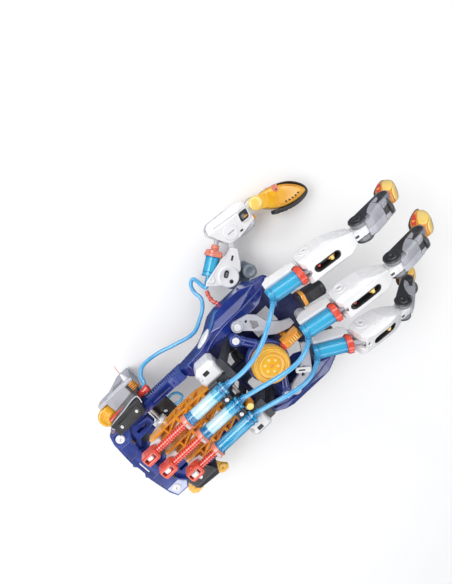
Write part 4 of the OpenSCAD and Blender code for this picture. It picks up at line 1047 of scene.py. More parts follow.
loft("palm_block_cap", PALM_BLOCK,
     [(x, [(-8.6 * k, -6.0 * k), (-8.6 * k, 5.0 * k), (-5.2 * k, 9.2 * k), (0, 10.0 * k),
           (5.2 * k, 9.2 * k), (8.6 * k, 5.0 * k), (8.6 * k, -6.0 * k), (0, -6.6 * k)])
      for x, k in ((11.5, 0.86), (12.5, 0.95), (16.2, 0.95), (17.6, 0.8))], "charcoal")
slab("palm_block_seam", PALM_BLOCK.at(1, 0, 8.7), rounded(-4, -5.4, 9, 5.4, 1.2), 0.0, 0.7,
     "rubber", bevel=0.25, segs=2)
# amber bar: red end and ribs on top
slab("bar_nose", WORLD, rounded(216.5, -0.4, 220.6, 6.9, 1.4), 46.4, 54.2, "red",
     bevel=0.8)
for i in range(4):
    slab("bar_rib_%d" % (i + 1), WORLD, rounded(226.4 + i * 3.0, 0.3, 228.0 + i * 3.0, 5.7, 0.5),
         52.6, 54.6, "tip_yellow", bevel=0.3, segs=2)
# slotted white plate beside the disc
PLATE = Frame((219.5, -43.0, 39.0), (0.77, -0.64, 0), (0.64, 0.77, 0), (0, 0, 1))
slab("slotted_plate", PLATE, rounded(-13.0, -3.4, 6.0, 3.4, 2.4), 0.0, 2.4, "white_shell",
     bevel=0.6)
slab("slotted_plate_slot", PLATE.at(0, 0, 2.35), rounded(-9.5, -0.9, -1.5, 0.9, 0.7), 0.0, 0.2,
     "dark_core", bevel=0.05, segs=1)

# ------------------------------------------------------------ cylinders
# name, profile, finish, sides
MASTER_RINGS = (
    ("master_ring_rear_", [(6.6, 91.0), (7.5, 91.0), (7.65, 91.5), (7.65, 92.6), (7.3, 93.2),
                           (6.6, 93.3)], 56),
    ("master_ring_front_", [(6.6, 134.6), (7.3, 134.6), (7.6, 135.2), (7.6, 137.4),
                            (7.3, 138.0), (6.6, 138.0)], 56),
    ("master_neck_", [(3.0, 142.8), (4.6, 142.8), (4.9, 143.4), (4.3, 144.4), (3.6, 145.2),
                      (3.0, 145.4)], 40))
COLLAR_BEADS = (
    ("collar_bead_", [(8.0, 85.6), (8.9, 85.6), (9.15, 86.1), (9.0, 86.9), (8.0, 87.0)]),
    ("collar_bead_f", [(8.0, 89.9), (9.0, 89.9), (9.15, 90.4), (8.9, 91.3), (8.0, 91.4)]))
for k, y in enumerate(FINGER_Y.values(), 1):
    barrel = WORLD.at(0, y, MASTER_Z).ahead()
    for name, profile, sides in MASTER_RINGS:
        lathe(name + str(k), barrel, profile, "seal_blue", sides=sides)
    for number, degrees in enumerate((20, 75, 120, 165), 1):
        rib_y = y + 6.95 * cos(radians(degrees))
        rib_z = MASTER_Z + 6.95 * sin(radians(degrees))
        rib = straight(Vector((95.0, rib_y, rib_z)), Vector((133.0, rib_y, rib_z)), 8)
        tube("master_rib_%d%d" % (k, number), rib, 0.28, "master_tube", sides=8)
    for name, profile in COLLAR_BEADS:
        lathe(name + str(k), barrel, profile, "salmon")
    slab("collar_patch_%d" % k, WORLD.at(88.3, y, 80.4), centred(1.3, 3.0, 0.6), 0.0, 0.5,
         "light_grey", bevel=0.2, segs=2)

SLAVE_Z = 12  # height of a finger's or the thumb's own cylinder in its root frame


def slave_trim(tag, root, body, x0, x1):
    """Rings, ribs and cap beads on a cylinder that runs from x0 to its cap at x1."""
    axis = root.at(0, 0, SLAVE_Z).ahead()
    rings = ((x0 + 0.2, 9.35), (x0 + 5.2, 9.1), (x1 - 1.8, 9.4))
    for number, (x, r) in enumerate(rings, 1):
        lathe("%s_ring_%d" % (tag, number), axis,
              [(8.4, x), (r - 0.2, x), (r, x + 0.4), (r, x + 1.2), (r - 0.2, x + 1.6),
               (8.4, x + 1.6)], "seal_blue", body)
    for number, degrees in enumerate((15, 60, 100, 140, 180), 1):
        y = 8.72 * cos(radians(degrees))
        z = SLAVE_Z + 8.72 * sin(radians(degrees))
        tube("%s_rib_%d" % (tag, number),
             straight(root.mm(x0 + 7.5, y, z), root.mm(x1 - 3.0, y, z), 6), 0.3,
             "clear_cyan", body, sides=8)
    lathe(tag + "_cap_face", axis,
          [(3.3, x1 + 6.8), (8.6, x1 + 6.8), (9.3, x1 + 7.0), (9.5, x1 + 7.25),
           (8.4, x1 + 7.5), (3.3, x1 + 7.4)], "red", body, sides=48)
    lathe(tag + "_cap_bead", axis,
          [(9.3, x1 + 0.1), (10.2, x1 + 0.1), (10.45, x1 + 0.6), (10.2, x1 + 1.2),
           (9.3, x1 + 1.3)], "red", body)


for finger, frames in FRAMES.items():
    slave_trim(finger + "_slave", frames[0], "frame", -59, -21)
THUMB_CYLINDER = BODY["thumb_barrel"]
slave_trim("thumb_slave", THUMB_ROOT, THUMB_CYLINDER, -59, -33)

# clevises of the push rods
for finger, y in FINGER_Y.items():
    rod = finger + "_master_plunger"
    clevis_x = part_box(rod)[0][0] * 1000 + 8.8
    for side, tag in SIDES:
        lathe("%s_clevis_pin_%s" % (finger, tag),
              WORLD.at(clevis_x, y + side * 6.3, MASTER_Z).side(side),
              [(0.0, -0.8), (2.7, -0.8), (3.0, -0.1), (2.6, 0.6), (1.4, 0.7), (1.1, 0.2),
               (0.0, 0.2)], "red", BODY[rod], sides=32)
    tube(finger + "_clevis_bead",
         [(clevis_x + dx, y + dy, 76.05) for dx, dy in centred(7.0, 3.7, 1.2, 4)],
         0.5, "salmon", BODY[rod], sides=8, closed=True)

# ------------------------------------------------------------ thumb shell
SHELL_BODY, TIP_BODY_NAME, ARM_BODY = BODY["thumb_shell"], BODY["thumb_tip"], BODY["thumb_link"]
THUMB_SIDES = ((-1, "v"), (1, "u"))
THUMB_BOSS = [(0.0, -1.0), (9.2, -1.0), (9.7, -0.2), (9.4, 0.9), (8.4, 1.4), (7.9, 0.9),
              (7.3, 1.1), (0.0, 1.5)]
THUMB_BELT = ((-15, 12.6, 17.0), (-4, 13.0, 16.2), (10, 13.0, 15.4), (24, 12.4, 14.6),
              (33, 10.8, 13.8))
# x, half width, bottom z, top z
THUMB_SOLE = ((9.5, 8.2, -13.2, -9.6), (11.0, 9.6, -14.6, -9.0), (22.0, 9.6, -14.2, -7.0),
              (33.0, 8.6, -12.2, -5.0), (35.5, 7.2, -10.4, -5.0))
for side, tag in THUMB_SIDES:
    boss = THUMB_SHELL.at(0, side * 12.9, 0).side(side)
    lathe("thumb_boss_" + tag, boss, THUMB_BOSS, "white_shell", SHELL_BODY, sides=64)
    slab("thumb_boss_line_" + tag, boss.at(0, 0, 1.35), centred(5.0, 0.45, 0.4, 3), -0.2, 0.28,
         "mid_grey", SHELL_BODY, bevel=0.1, segs=2)
    # window in the flank: slanted dark pocket, raised rim, grey core and amber pin
    window = THUMB_SHELL.at(25.6, side * 12.75, 6.4).side(side)
    pocket = [(x + 0.22 * y, y) for x, y in centred(6.2, 5.6, 2.6)]
    slab("thumb_window_" + tag, window, pocket, -2.0, 0.42, "dark_core", SHELL_BODY,
         bevel=0.15, segs=2)
    tube("thumb_window_rim_" + tag, [window.mm(x * 1.12, y * 1.12, 0.35) for x, y in pocket],
         0.65, "white_shell", SHELL_BODY, sides=12, closed=True)
    slab("thumb_window_core_" + tag, window, rounded(-3.6, -3.4, 1.6, 1.8, 1.3), 0.2, 0.7,
         "mid_grey", SHELL_BODY, bevel=0.25)
    slab("thumb_window_pin_" + tag, window, rounded(-1.4, -3.0, 4.0, -1.2, 0.8), 0.3, 0.85,
         "amber", SHELL_BODY, bevel=0.25)
    tube("thumb_belt_" + tag, THUMB_SHELL.path(mirror(THUMB_BELT, side)), 0.6,
         "white_shell", SHELL_BODY, sides=12)
    slab("thumb_small_slot_" + tag, THUMB_SHELL.at(12.5, side * 12.9, -6.6).side(side),
         centred(2.2, 1.1, 0.8), -0.6, 0.25, "dark_core", SHELL_BODY, bevel=0.1, segs=2)
loft("thumb_sole", THUMB_SHELL,
     [(x, [(-w, low + 1.2), (-w + 1.2, low), (0, low - 0.3), (w - 1.2, low), (w, low + 1.2),
           (w, top), (0, top + 0.3), (-w, top)]) for x, w, low, top in THUMB_SOLE],
     "light_grey", SHELL_BODY, sub=2)
for number, x in enumerate((15.0, 20.0, 25.0, 30.0), 1):
    slab("thumb_sole_groove_%d" % number, THUMB_SHELL.at(x, 0, -13.9 + (x - 15) * 0.09),
         centred(0.5, 7.4, 0.4, 3), -0.75, 0.6, "mid_grey", SHELL_BODY, bevel=0.15, segs=2)
slab("thumb_stop", THUMB_SHELL.at(38.0, 0, 0), rounded(-2.2, -4.8, 1.6, 4.8, 0.9), -7.4, -2.2,
     "amber", SHELL_BODY, bevel=0.6)

# -------------------------------------------------------------- thumb tip
# x, half width, top z, bottom z, corner size
THUMB_TIP_BODY = (
    (9.6, 8.0, 7.6, -8.0, 3.0), (12, 10.0, 10.2, -10.8, 3.0), (20, 10.7, 12.0, -13.8, 3.0),
    (28, 10.9, 13.0, -15.6, 3.0), (40, 10.8, 12.2, -15.8, 3.0), (52, 9.6, 9.2, -14.4, 3.0),
    (62, 7.6, 4.6, -11.2, 2.4), (69, 5.2, -0.8, -7.8, 1.6), (71.6, 3.4, -3.0, -6.0, 0.8))
HINGE_DISC = [(2.1, -2.4), (8.4, -2.4), (9.1, -1.6), (9.2, 1.4), (8.7, 2.5), (7.4, 3.3),
              (4.0, 3.9), (0.0, 4.1), (0.0, 3.0), (2.1, 2.6)]
# side outlines and places as x, z
HINGE_ARM = ((1, 8.6), (13, 8.8), (17, 4.0), (16, -7.0), (12, -9.4), (1, -8.6))
BRACKET = ((24.6, 13.4), (32.6, 13.8), (33.4, 9.4), (31.0, 5.4), (28.4, 4.6), (26.0, 6.4))
PANEL = ((36, 9.2), (50, 7.2), (60, 2.6), (64, -3.0), (58, -9.0), (46, -12.2), (33, -12.6),
         (28, -8.0), (31, 0.0))
TICKS = ((38, -10.4), (43, -10.0), (48, -8.9), (53, -7.4), (57.5, -5.4))
THUMB_RUBBER = ((31, 13.4), (44, 12.8), (56, 9.4), (66, 3.2), (71.4, -3.0), (71.0, -8.2),
                (62, -13.6), (50, -17.4), (36, -18.6), (20.5, -18.4))


def thumb_tip_section(x, w, top, low, c):
    middle = (top + low) / 2
    return x, [(-w, low + c), (-w, middle), (-w, top - c), (-w + c, top), (0, top + 0.4),
               (w - c, top), (w, top - c), (w, middle), (w, low + c), (w - c, low),
               (0, low - 0.3), (-w + c, low)]


thumb_core = loft("thumb_tip_body", THUMB_TIP, [thumb_tip_section(*row) for row in THUMB_TIP_BODY],
                  "yellow", TIP_BODY_NAME, sub=2)
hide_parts("thumb_tip")
for side, tag in THUMB_SIDES:
    hinge = THUMB_TIP.at(0, side * 8.3, 0).side(side)
    lathe("thumb_hinge_disc_" + tag, hinge, HINGE_DISC, "tip_yellow", TIP_BODY_NAME, sides=64)
    slab("thumb_hinge_arm_" + tag, hinge, side_view(HINGE_ARM, side), -2.3, 2.3, "yellow",
         TIP_BODY_NAME, bevel=0.9)
    flank = THUMB_TIP.at(0, side * 10.7, 0).side(side)
    slab("thumb_bracket_" + tag, flank, side_view(BRACKET, side), -0.6, 1.0, "salmon",
         TIP_BODY_NAME, bevel=0.6)
    lathe("thumb_bracket_dot_" + tag, flank.at(29.8, -side * 7.6, 0.9),
          [(0.0, -0.3), (1.15, -0.3), (1.2, 0.1), (0.9, 0.3), (0.0, 0.35)],
          "dark_core", TIP_BODY_NAME, sides=24)
    # the panel line and the ticks follow the tip's inward taper beyond x 45
    panel = [(x, y, -max(0.0, x - 45) * 0.12) for x, y in side_view(PANEL, side)]
    tube("thumb_panel_" + tag, flank.path(panel, closed=True), 0.45, "amber", TIP_BODY_NAME,
         sides=10, closed=True)
    for number, (x, y) in enumerate(side_view(TICKS, side), 1):
        slab("thumb_tick_%s%d" % (tag, number), flank.at(x, y, -0.25 - max(0, x - 45) * 0.13),
             centred(1.2, 1.1, 0.4, 3), -0.4, 0.6, "dark_core", TIP_BODY_NAME,
             bevel=0.15, segs=2)
# rubber band round the point, narrowest halfway and thicker underneath
strip("thumb_rubber", THUMB_TIP, THUMB_RUBBER,
      lambda u: 8.8 - 4.6 * exp(-((u - 0.5) / 0.16) ** 2),
      lambda u: 0.9 + 2.0 * min(1.0, max(0.0, (u - 0.25) / 0.4)),
      shoulder=0.5, body=TIP_BODY_NAME)
for i in range(6):
    slab("thumb_tread_%d" % (i + 1),
         THUMB_TIP.at(26 + i * 5.6, 0, -21.3 + max(0, i - 2) ** 1.6 * 0.75),
         centred(1.3, 7.0, 0.8, 4), -0.5, 0.8, "rubber", TIP_BODY_NAME, bevel=0.4)

# ------------------------------------------------------ thumb arm and base
DISC = THUMB_ROOT.at(-53.6, -13.4, -9.6).side(-1)
lathe("thumb_disc_face", DISC,
      [(0.0, -0.6), (12.4, -0.6), (13.2, -0.1), (13.3, 0.8), (12.6, 1.6), (11.4, 1.9),
       (10.8, 1.5), (0.0, 1.7)], "white_shell", ARM_BODY, sides=72)
slab("thumb_disc_slot", DISC.at(2.8, 4.0, 1.55), centred(4.9, 2.9, 2.8, 8), -0.3, 0.35,
     "dark_core", ARM_BODY, bevel=0.12, segs=2)
slab("thumb_disc_core", DISC.at(2.8, 4.0, 1.9), rounded(-3.4, -1.5, 2.4, 0.8, 1.0), -0.2, 0.25,
     "mid_grey", ARM_BODY, bevel=0.12, segs=2)
lathe("thumb_disc_hole", DISC.at(-4.6, -4.4, 1.5),
      [(0.0, -0.3), (2.5, -0.3), (2.6, 0.2), (2.2, 0.42), (0.0, 0.4)],
      "dark_core", ARM_BODY, sides=32)
lathe("thumb_cover_rivet", DISC.at(-8.4, 19.6, -0.9),
      [(0.0, -0.5), (4.2, -0.5), (4.5, 0.3), (3.9, 1.1), (2.6, 1.3), (2.2, 0.9), (0.0, 1.0)],
      "white_shell", ARM_BODY, sides=40)
slab("thumb_cover_slot_1", THUMB_ROOT.at(-30.0, -12.6, -9.0).side(-1), centred(3.4, 1.3, 1.1),
     -0.5, 0.2, "dark_core", ARM_BODY, bevel=0.1, segs=2)
slab("thumb_cover_slot_2", THUMB_ROOT.at(-21.0, -9.2, -10.2).side(-1), centred(2.0, 1.8, 0.9),
     -1.0, 0.35, "dark_core", ARM_BODY, bevel=0.1, segs=2)
COVER_BEAD = ((-21, -3.6), (-27, -1.8), (-34, 2.0), (-48, 7.6), (-66, 14.6))  # x, z
tube("thumb_cover_bead", THUMB_ROOT.path([(x, -12.75, z) for x, z in COVER_BEAD]), 0.7,
     "white_shell", ARM_BODY, sides=12)
lathe("thumb_hinge_cap", THUMB_ROOT.at(0, -5.0, 0).side(-1),
      [(0.0, -0.4), (5.0, -0.4), (5.6, 0.0), (5.0, 0.35), (0.0, 0.4)],
      "light_grey", ARM_BODY, sides=40)
# ribbed sleeve, flange and lugs at the cylinder's cap
CYLINDER_AXIS = THUMB_ROOT.at(0, 0, SLAVE_Z).ahead()
lathe("thumb_cap_sleeve", CYLINDER_AXIS,
      [(3.25, -26.2), (5.3, -26.2), (5.35, -24.6), (4.7, -24.2), (4.7, -23.4), (5.3, -23.0),
       (5.3, -21.4), (4.7, -21.0), (4.7, -20.2), (5.2, -19.8), (5.0, -18.6), (3.25, -18.4)],
      "salmon", THUMB_CYLINDER, sides=48)
lathe("thumb_cap_flange", CYLINDER_AXIS,
      [(9.0, -33.4), (11.2, -33.4), (11.8, -32.8), (11.8, -30.4), (11.2, -29.8), (9.6, -29.6),
       (9.0, -30.0)], "salmon", THUMB_CYLINDER, sides=64)
for i in range(4):
    slab("thumb_cap_lug_%d" % (i + 1), CYLINDER_AXIS.outward(11.2, -29.0, radians(40 + 90 * i)),
         rounded(-1.6, -3.4, 1.6, 2.6, 0.6, 3), -1.4, 0.9, "salmon", THUMB_CYLINDER,
         bevel=0.35, segs=2)
# base: screws, round post and ribs
BASE = THUMB_ROOT.turn_y(10)
for number, (x, z) in enumerate(((-53, -41), (-33, -44), (-44, -22)), 1):
    lathe("thumb_base_screw_%d" % number, BASE.at(x, 3.5, z).side(-1),
          [(0.0, -0.3), (2.7, -0.3), (3.0, 0.3), (2.5, 1.0), (1.2, 1.2), (1.0, 0.5), (0.0, 0.5)],
          "steel", sides=28)
lathe("thumb_base_post", BASE.at(-34, -8.0, -43).side(-1),
      [(0.0, -0.4), (7.6, -0.4), (8.6, 0.0), (8.8, 0.7), (7.8, 1.3), (4.6, 1.5), (4.2, 0.9),
       (0.0, 0.9)], "slate")
for number, z in enumerate((-30, -34.5, -39), 1):
    slab("thumb_base_rib_%d" % number, BASE.at(-54, 3.6, z).side(-1), centred(5.5, 0.8, 0.6, 3),
         -0.4, 0.9, "slate", bevel=0.3, segs=2)
# red bracket behind the thumb arm
tube("thumb_rear_bracket",
     smooth_path([(196, 94, -25), (193.5, 88, -23.5), (192.5, 80, -21), (196, 73.5, -18),
                  (203, 70.5, -15)], 8), 2.3, "red", sides=16)
for number, point in enumerate(((194.2, 90, -24), (192.6, 83, -22), (193.6, 77, -19.6)), 1):
    lathe("thumb_rear_ring_%d" % number,
          Frame(point, (1, 0, 0), (0, 0.3, 0.954), (0, 0.954, -0.3)),
          [(2.0, -0.9), (3.0, -0.9), (3.2, -0.4), (3.2, 0.4), (3.0, 0.9), (2.0, 0.9)],
          "red", sides=32)

# -------------------------------------------------------------- thumb hose
CONTROLLER = BODY["controller_body"]
ARM_NOZZLE = THUMB_ROOT.at(-66.05, 0, 12)
BOX_NOZZLE = Vector((57.05, 65, -1))
hose = smooth_path([
    ARM_NOZZLE.origin, ARM_NOZZLE.at(-7, 0, 1.75).origin, (194, 114, -36), (186, 111, -36),
    (183, 101, -34), (184, 91, -30), (178, 82, -26), (166, 75, -19), (148, 69, -12),
    (122, 74, -14), (98, 80, -18), (76, 82, -16), (66, 76, -10), (64, 68, -4), BOX_NOZZLE], 8)
SPLIT = 56  # point where the two halves meet, one step overlapping
arm_hose = tube("thumb_hose_arm_side", hose[:SPLIT + 2], 2.5, "hose_blue", None, sides=22,
                start=-THUMB_ROOT.x, end=hose[SPLIT + 2] - hose[SPLIT])
box_hose = tube("thumb_hose_controller_side", hose[SPLIT:], 2.5, "hose_blue", None, sides=22,
                start=hose[SPLIT + 1] - hose[SPLIT - 1], end=Vector((-1, -0.2, 0.2)))
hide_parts("thumb_hose")
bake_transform(arm_hose)
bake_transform(box_hose)
for tag, point, way, body in (
        ("arm", ARM_NOZZLE.origin, -THUMB_ROOT.x, THUMB_CYLINDER),
        ("box", BOX_NOZZLE, Vector((1, 0.2, -0.2)), CONTROLLER)):
    lathe("thumb_ferrule_" + tag, aimed(point, way, back=1.0),
          [(2.6, 0.0), (3.5, 0.0), (3.7, 0.5), (3.7, 1.4), (3.2, 1.8), (3.2, 2.6), (3.6, 3.0),
           (3.6, 4.4), (3.0, 4.9), (2.55, 4.9)], "seal_blue", body, sides=36)

# ------------------------------------------------------------- controller
WHEEL_BODY = BODY["adjuster_wheel"]
WHEEL_X, WHEEL_Z = 52, -8.2
wheel_axis = WORLD.at(WHEEL_X, 0, WHEEL_Z).side()
profile = [(0.0, 66.2), (2.6, 66.2), (3.0, 66.6)]
for i in range(5):
    y = 67.0 + i * 2.6
    profile += [(3.2, y), (4.5, y + 0.25), (4.7, y + 0.7), (4.7, y + 1.1), (4.5, y + 1.5),
                (3.2, y + 1.75)]
profile += [(3.0, 79.6), (0.0, 79.8)]
wheel = lathe("adjuster_ribbed", wheel_axis, profile, "amber", WHEEL_BODY)
lathe("adjuster_axle", wheel_axis,
      [(0.0, 65.0), (1.4, 65.0), (1.5, 65.2), (1.5, 81.6), (1.4, 81.8), (0.0, 81.8)],
      "steel", WHEEL_BODY, sides=28)
for i in range(12):
    angle = 2 * pi * i / 12
    centre = Vector((WHEEL_X + 3.9 * cos(angle), 73.2, WHEEL_Z + 3.9 * sin(angle)))
    half = Vector((0, 5.9, 0))
    tube("adjuster_groove_%02d" % (i + 1), straight(centre - half, centre + half, 5), 0.42,
         "dark_core", WHEEL_BODY, sides=8)
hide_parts("adjuster_wheel")
# clamp on the rail: edge trim, dark inset and screws
tube("clamp_trim",
     smooth_path([(12.6, 60.2, 30.1), (13.2, 65.6, 28.6), (34, 69.0, 28.6), (56.0, 71.6, 27.4),
                  (56.6, 62.0, 30.0)]), 0.7, "light_grey", CONTROLLER, sides=12)
slab("clamp_inset", WORLD.at(0, 0, 30.0),
     [(17, 53), (46, 53.6), (50, 57.4), (50, 64), (20, 61.4), (16.4, 58)], -0.4, 0.55,
     "rubber", CONTROLLER, bevel=0.4)
for number, (x, y) in enumerate(((21, 57), (45.5, 59)), 1):
    lathe("clamp_screw_%d" % number, WORLD.at(x, y, 30.4),
          [(0.0, -0.3), (2.0, -0.3), (2.2, 0.3), (1.8, 0.9), (0.9, 1.0), (0.7, 0.4), (0.0, 0.4)],
          "steel", CONTROLLER, sides=28)
# body: cover plate and vents on its +Y face, grip on its -Y face
slab("body_cover", WORLD.at(0, 84.0, 0).side(),
     [(18, 10), (50, 10), (49, 30), (43.5, 61), (27.5, 61), (20, 30)], -0.3, 0.7,
     "light_grey", CONTROLLER, bevel=0.4)
for number, z in enumerate((-15, -20, -25), 1):
    slab("body_vent_%d" % number, WORLD.at(34, 84.6, z).side(), centred(8, 0.8, 0.6, 3),
         -0.4, 0.25, "dark_core", CONTROLLER, bevel=0.1, segs=2)
slab("body_grip", WORLD.at(0, 62.9, 0).side(-1),
     [(25, -60), (45, -60), (49, -34), (47, -28), (23, -28), (21, -34)], -0.3, 1.1,
     "rubber", CONTROLLER, bevel=0.6)
for number, z in enumerate((-36, -42, -48, -54), 1):
    slab("grip_rib_%d" % number, WORLD.at(35.5, 61.8, z).side(-1), centred(8.5, 0.9, 0.7, 3),
         -0.4, 0.7, "rubber", CONTROLLER, bevel=0.3, segs=2)
lathe("body_cone", Frame((48.0, 84.6, -17.0), (0, 0, 1), (1, 0, 0), (0, 1, 0)),
      [(0.0, -0.6), (3.4, -0.6), (3.5, 0.4), (2.4, 4.4), (1.3, 7.6), (0.8, 8.4), (0.0, 8.6)],
      "white_shell", CONTROLLER, sides=36)
tube("body_wire",
     smooth_path([(48, 92.6, -17), (48.6, 98, -16.4), (50.0, 103, -15), (52.4, 106.6, -13)]),
     0.45, "salmon", CONTROLLER, sides=8)
# paddle: dished pad with rings
LEVER = BODY["controller_lever"]
PAD = WORLD.at(6, 0, -14).turn_y(16).at(-5, 65.5, 0)
lathe("paddle_pad", PAD,
      [(0.0, -3.7), (11.0, -3.7), (12.3, -3.0), (12.7, -0.6), (12.5, 2.0), (11.6, 3.3),
       (10.2, 3.9), (8.8, 3.6), (5.0, 2.7), (0.0, 2.4)], "yellow", LEVER, sides=72)
for i in range(3):
    tube("paddle_ring_%d" % (i + 1), PAD.arc(3.0 + 2.2 * i, 2.55 + 0.32 * i, range(0, 360, 9)),
         0.28, "tip_yellow", LEVER, sides=8, closed=True)
button_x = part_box("controller_plunger")[1][0] * 1000 - 4.2
lathe("button_head", WORLD.at(button_x, 64.5, 10).ahead(),
      [(4.3, 0.0), (4.9, 0.2), (5.1, 0.9), (5.1, 2.9), (4.8, 3.8), (3.9, 4.5), (2.0, 4.9),
       (0.0, 5.0), (0.0, 4.2), (3.7, 3.8)], "red", BODY["controller_plunger"], sides=48)
# clamp and hook on the right
slab("side_clamp_inset", WORLD.at(0, 0, 28.0),
     [(26, -53), (49, -53), (53.5, -62), (50, -65), (27, -64)], -0.3, 0.6, "rubber",
     BODY["clamp_right"], bevel=0.4)
lathe("side_clamp_screw", WORLD.at(37, -58.5, 28.5),
      [(0.0, -0.3), (2.4, -0.3), (2.6, 0.4), (2.1, 1.0), (1.1, 1.2), (0.8, 0.5), (0.0, 0.5)],
      "steel", BODY["clamp_right"], sides=28)
for number, (x, y) in enumerate(((10, -82), (53, -88)), 1):
    lathe("hook_eye_%d" % number, WORLD.at(x, y, -5.0),
          [(0.0, -0.4), (4.4, -0.4), (4.7, 0.2), (4.0, 0.9), (3.0, 1.0), (2.4, 0.3), (0.0, 0.3)],
          "yellow", BODY["clamp_hook"], sides=40)

# ------------------------------------------------ palm plate and wings
PALM_SCREWS = ((160, 44), (160, -44), (226, 46), (226, -46), (256, 30), (256, -30))
WING_RIB = ((-3.0, -16), (5.0, -14), (7.0, 4), (4.0, 20), (-3.0, 21))  # outward y, z
WING_SPINE = ((150, 53.0, 30.2), (164, 58.5, 31.6), (182, 62.5, 34.0), (204, 63.5, 34.3),
              (222, 63.6, 31.8), (240, 63.4, 25.6), (252, 64.4, 19.4))
for number, (x, y) in enumerate(PALM_SCREWS, 1):
    lathe("palm_screw_%d" % number, WORLD.at(x, y, 12.0).flipped(),
          [(0.0, -0.4), (3.4, -0.4), (3.8, 0.2), (3.3, 1.2), (1.8, 1.5), (1.4, 0.6), (0.0, 0.6)],
          "steel", sides=32)
for number, x in enumerate((184, 191, 198), 1):
    slab("palm_under_rib_%d" % number, WORLD.at(x, 0, 12.0).flipped(), centred(1.2, 40, 0.9),
         -0.4, 1.6, "navy_plate")
slab("palm_keel_pad", WORLD.at(207, 0, 8.0).flipped(), centred(48, 6.4, 4), -0.4, 0.9, "rubber")
slab("palm_blade", WORLD, [(244, -18), (252, -22), (262, -14), (263, 4), (256, 12), (247, 8)],
     19.8, 21.2, "navy_plate")
for side, tag in SIDES:
    for number, x in enumerate((182, 202, 222), 1):
        slab("wing_rib_%s%d" % (tag, number), WORLD.at(x, side * 62.0, 0).ahead(),
             [(side * y, z) for y, z in WING_RIB], -0.9, 0.9, "blue_shell", bevel=0.3, segs=2)
    tube("wing_spine_" + tag, smooth_path(mirror(WING_SPINE, side)), 1.1, "blue_shell", sides=14)
# small dark block between the middle and ring knuckles
SMALL_BLOCK = yawed((268, -27.5, 34), 14)
loft("palm_block_small", SMALL_BLOCK,
     [(x, [(-4.2 * k, -5.0), (-4.4 * k, 2.6), (-2.6 * k, 5.2 * k), (2.6 * k, 5.2 * k),
           (4.4 * k, 2.6), (4.2 * k, -5.0), (0, -5.2)])
      for x, k in ((-9, 0.86), (-8, 0.96), (6, 0.96), (8, 0.8))], "charcoal")
slab("palm_block_small_post", SMALL_BLOCK, rounded(-4, -3, 3, 3, 1.4), -14.4, -4.0, "charcoal",
     bevel=0.4)
slab("palm_block_small_band", SMALL_BLOCK, rounded(-7.6, -4.7, -5.4, 4.7, 0.8), -4.6, 5.5,
     "amber")
# hand pad's piping and the small hose loop on its +X side
PIPING = ((48.5, 44.6), (46.8, 24.5), (52.4, 13.0), (65.4, 11.0), (72.2, 20.6), (72.2, 44.4))
tube("pad_piping", smooth_path([(x, y, 8.6) for x, y in PIPING]), 0.8, "rubber", sides=12)
tube("pad_hose_loop",
     smooth_path([(73.5, 36, 5.5), (80, 36.5, 6.5), (86, 33, 6.5), (87, 26, 6), (81, 22.5, 5.5),
                  (73.2, 24, 5)], 8), 1.7, "hose_blue", sides=16)

# ------------------------------------------------------------------- floor
scene = bpy.context.scene
FLOOR_Z = lo0[2] - 0.003
floor_material, shader = new_material("pale_floor")
patches = shader.noise(shader.source("TexCoord", "Object"), scale=3.0, detail=4.0)
pale = shader.ramp(patches, [(0.3, (0.92, 0.925, 0.94)), (0.7, (0.96, 0.965, 0.975))])
# glossy rays see a dark floor, which keeps reflections deep
is_glossy = shader.source("LightPath", "Is Glossy Ray")
shader.surface({"Base Color": shader.mix(is_glossy, pale, (0.10, 0.12, 0.18)),
                "Roughness": 0.75, "Specular IOR Level": 0.2})
floor_mesh = bpy.data.meshes.new("floor")
floor_mesh.from_pydata([(-3, -3, FLOOR_Z), (3.5, -3, FLOOR_Z), (3.5, 3.5, FLOOR_Z),
                        (-3, 3.5, FLOOR_Z)], [], [(0, 1, 2, 3)])
floor = bpy.data.objects.new("floor", floor_mesh)
scene.collection.objects.link(floor)
floor_mesh.materials.append(floor_material)
scene.view_settings.view_transform = "Standard"
scene.view_settings.look = "None"

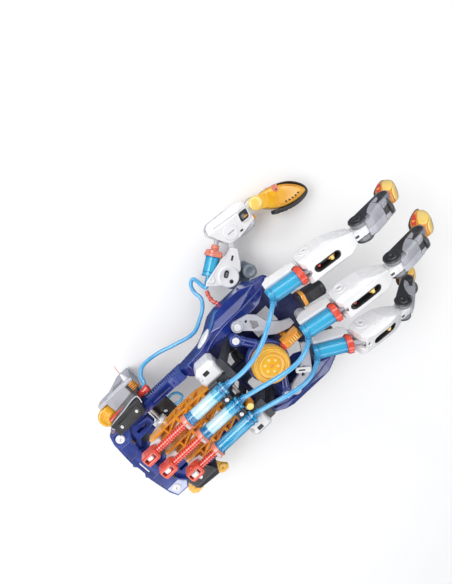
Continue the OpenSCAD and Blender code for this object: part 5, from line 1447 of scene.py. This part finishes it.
# ------------------------------------------------------------------- world
# position in the ramp over the direction's z, brightness
SOFT_SKY = ((0.0, 0.50), (0.7, 0.71), (1.0, 0.69))
GLOSSY_SKY = ((0.0, 0.25), (0.25, 0.35), (0.48, 1.7), (0.64, 3.4), (0.75, 2.6), (0.83, 0.8),
              (0.90, 0.14), (1.0, 0.06))
world = bpy.data.worlds.new("studio")
scene.world = world
world.use_nodes = True
sky = Shader(world.node_tree)
direction = sky.add("SeparateXYZ")
sky.put(direction.inputs[0], sky.source("TexCoord", "Generated"))
soft, shiny = [sky.ramp(direction.outputs[2], [(at, (v, v, v)) for at, v in stops])
               for stops in (SOFT_SKY, GLOSSY_SKY)]
background = world.node_tree.nodes["Background"]
sky.put(background.inputs["Color"], sky.mix(sky.source("LightPath", "Is Glossy Ray"), soft, shiny))
background.inputs["Strength"].default_value = 1.0


# -------------------------------------------------------- lights and camera
def area_light(name, place, size, watts, colour=(1, 1, 1)):
    """Rectangular light in metres, aimed at the middle of the hand."""
    light = bpy.data.lights.new(name, "AREA")
    light.shape = "RECTANGLE"
    light.size, light.size_y = size
    light.energy = watts
    light.color = colour
    lamp = bpy.data.objects.new(name, light)
    scene.collection.objects.link(lamp)
    lamp.location = place
    aim = Vector((0.21, 0.02, 0.0)) - Vector(place)
    lamp.rotation_euler = aim.to_track_quat("-Z", "Y").to_euler()


area_light("key", (-0.25, 0.55, 0.95), size=(0.7, 0.5), watts=7.0, colour=(1.0, 0.98, 0.96))
area_light("fill", (0.75, -0.55, 0.8), size=(0.9, 0.7), watts=1.2, colour=(0.95, 0.97, 1.0))
area_light("strip", (0.65, 0.75, 0.6), size=(0.8, 0.16), watts=1.6)
area_light("back", (-0.35, -0.6, 0.5), size=(0.6, 0.5), watts=0.8)

# the camera looks down on the hand along -back
right = Vector((0.7301, -0.6639, 0.1617))
back = Vector((0.0033, 0.2401, 0.9708)).normalized()
right = (right - back * right.dot(back)).normalized()
up = back.cross(right)
eye = Vector((0.2143, 0.1994, 0.4749))
camera_data = bpy.data.cameras.new("photo_angle")
camera = bpy.data.objects.new("photo_angle", camera_data)
scene.collection.objects.link(camera)
camera.matrix_world = Matrix(((right.x, up.x, back.x, eye.x), (right.y, up.y, back.y, eye.y),
                              (right.z, up.z, back.z, eye.z), (0, 0, 0, 1)))
camera_data.sensor_width = 36
camera_data.lens = 25.16
camera_data.clip_start = 0.01
scene.camera = camera
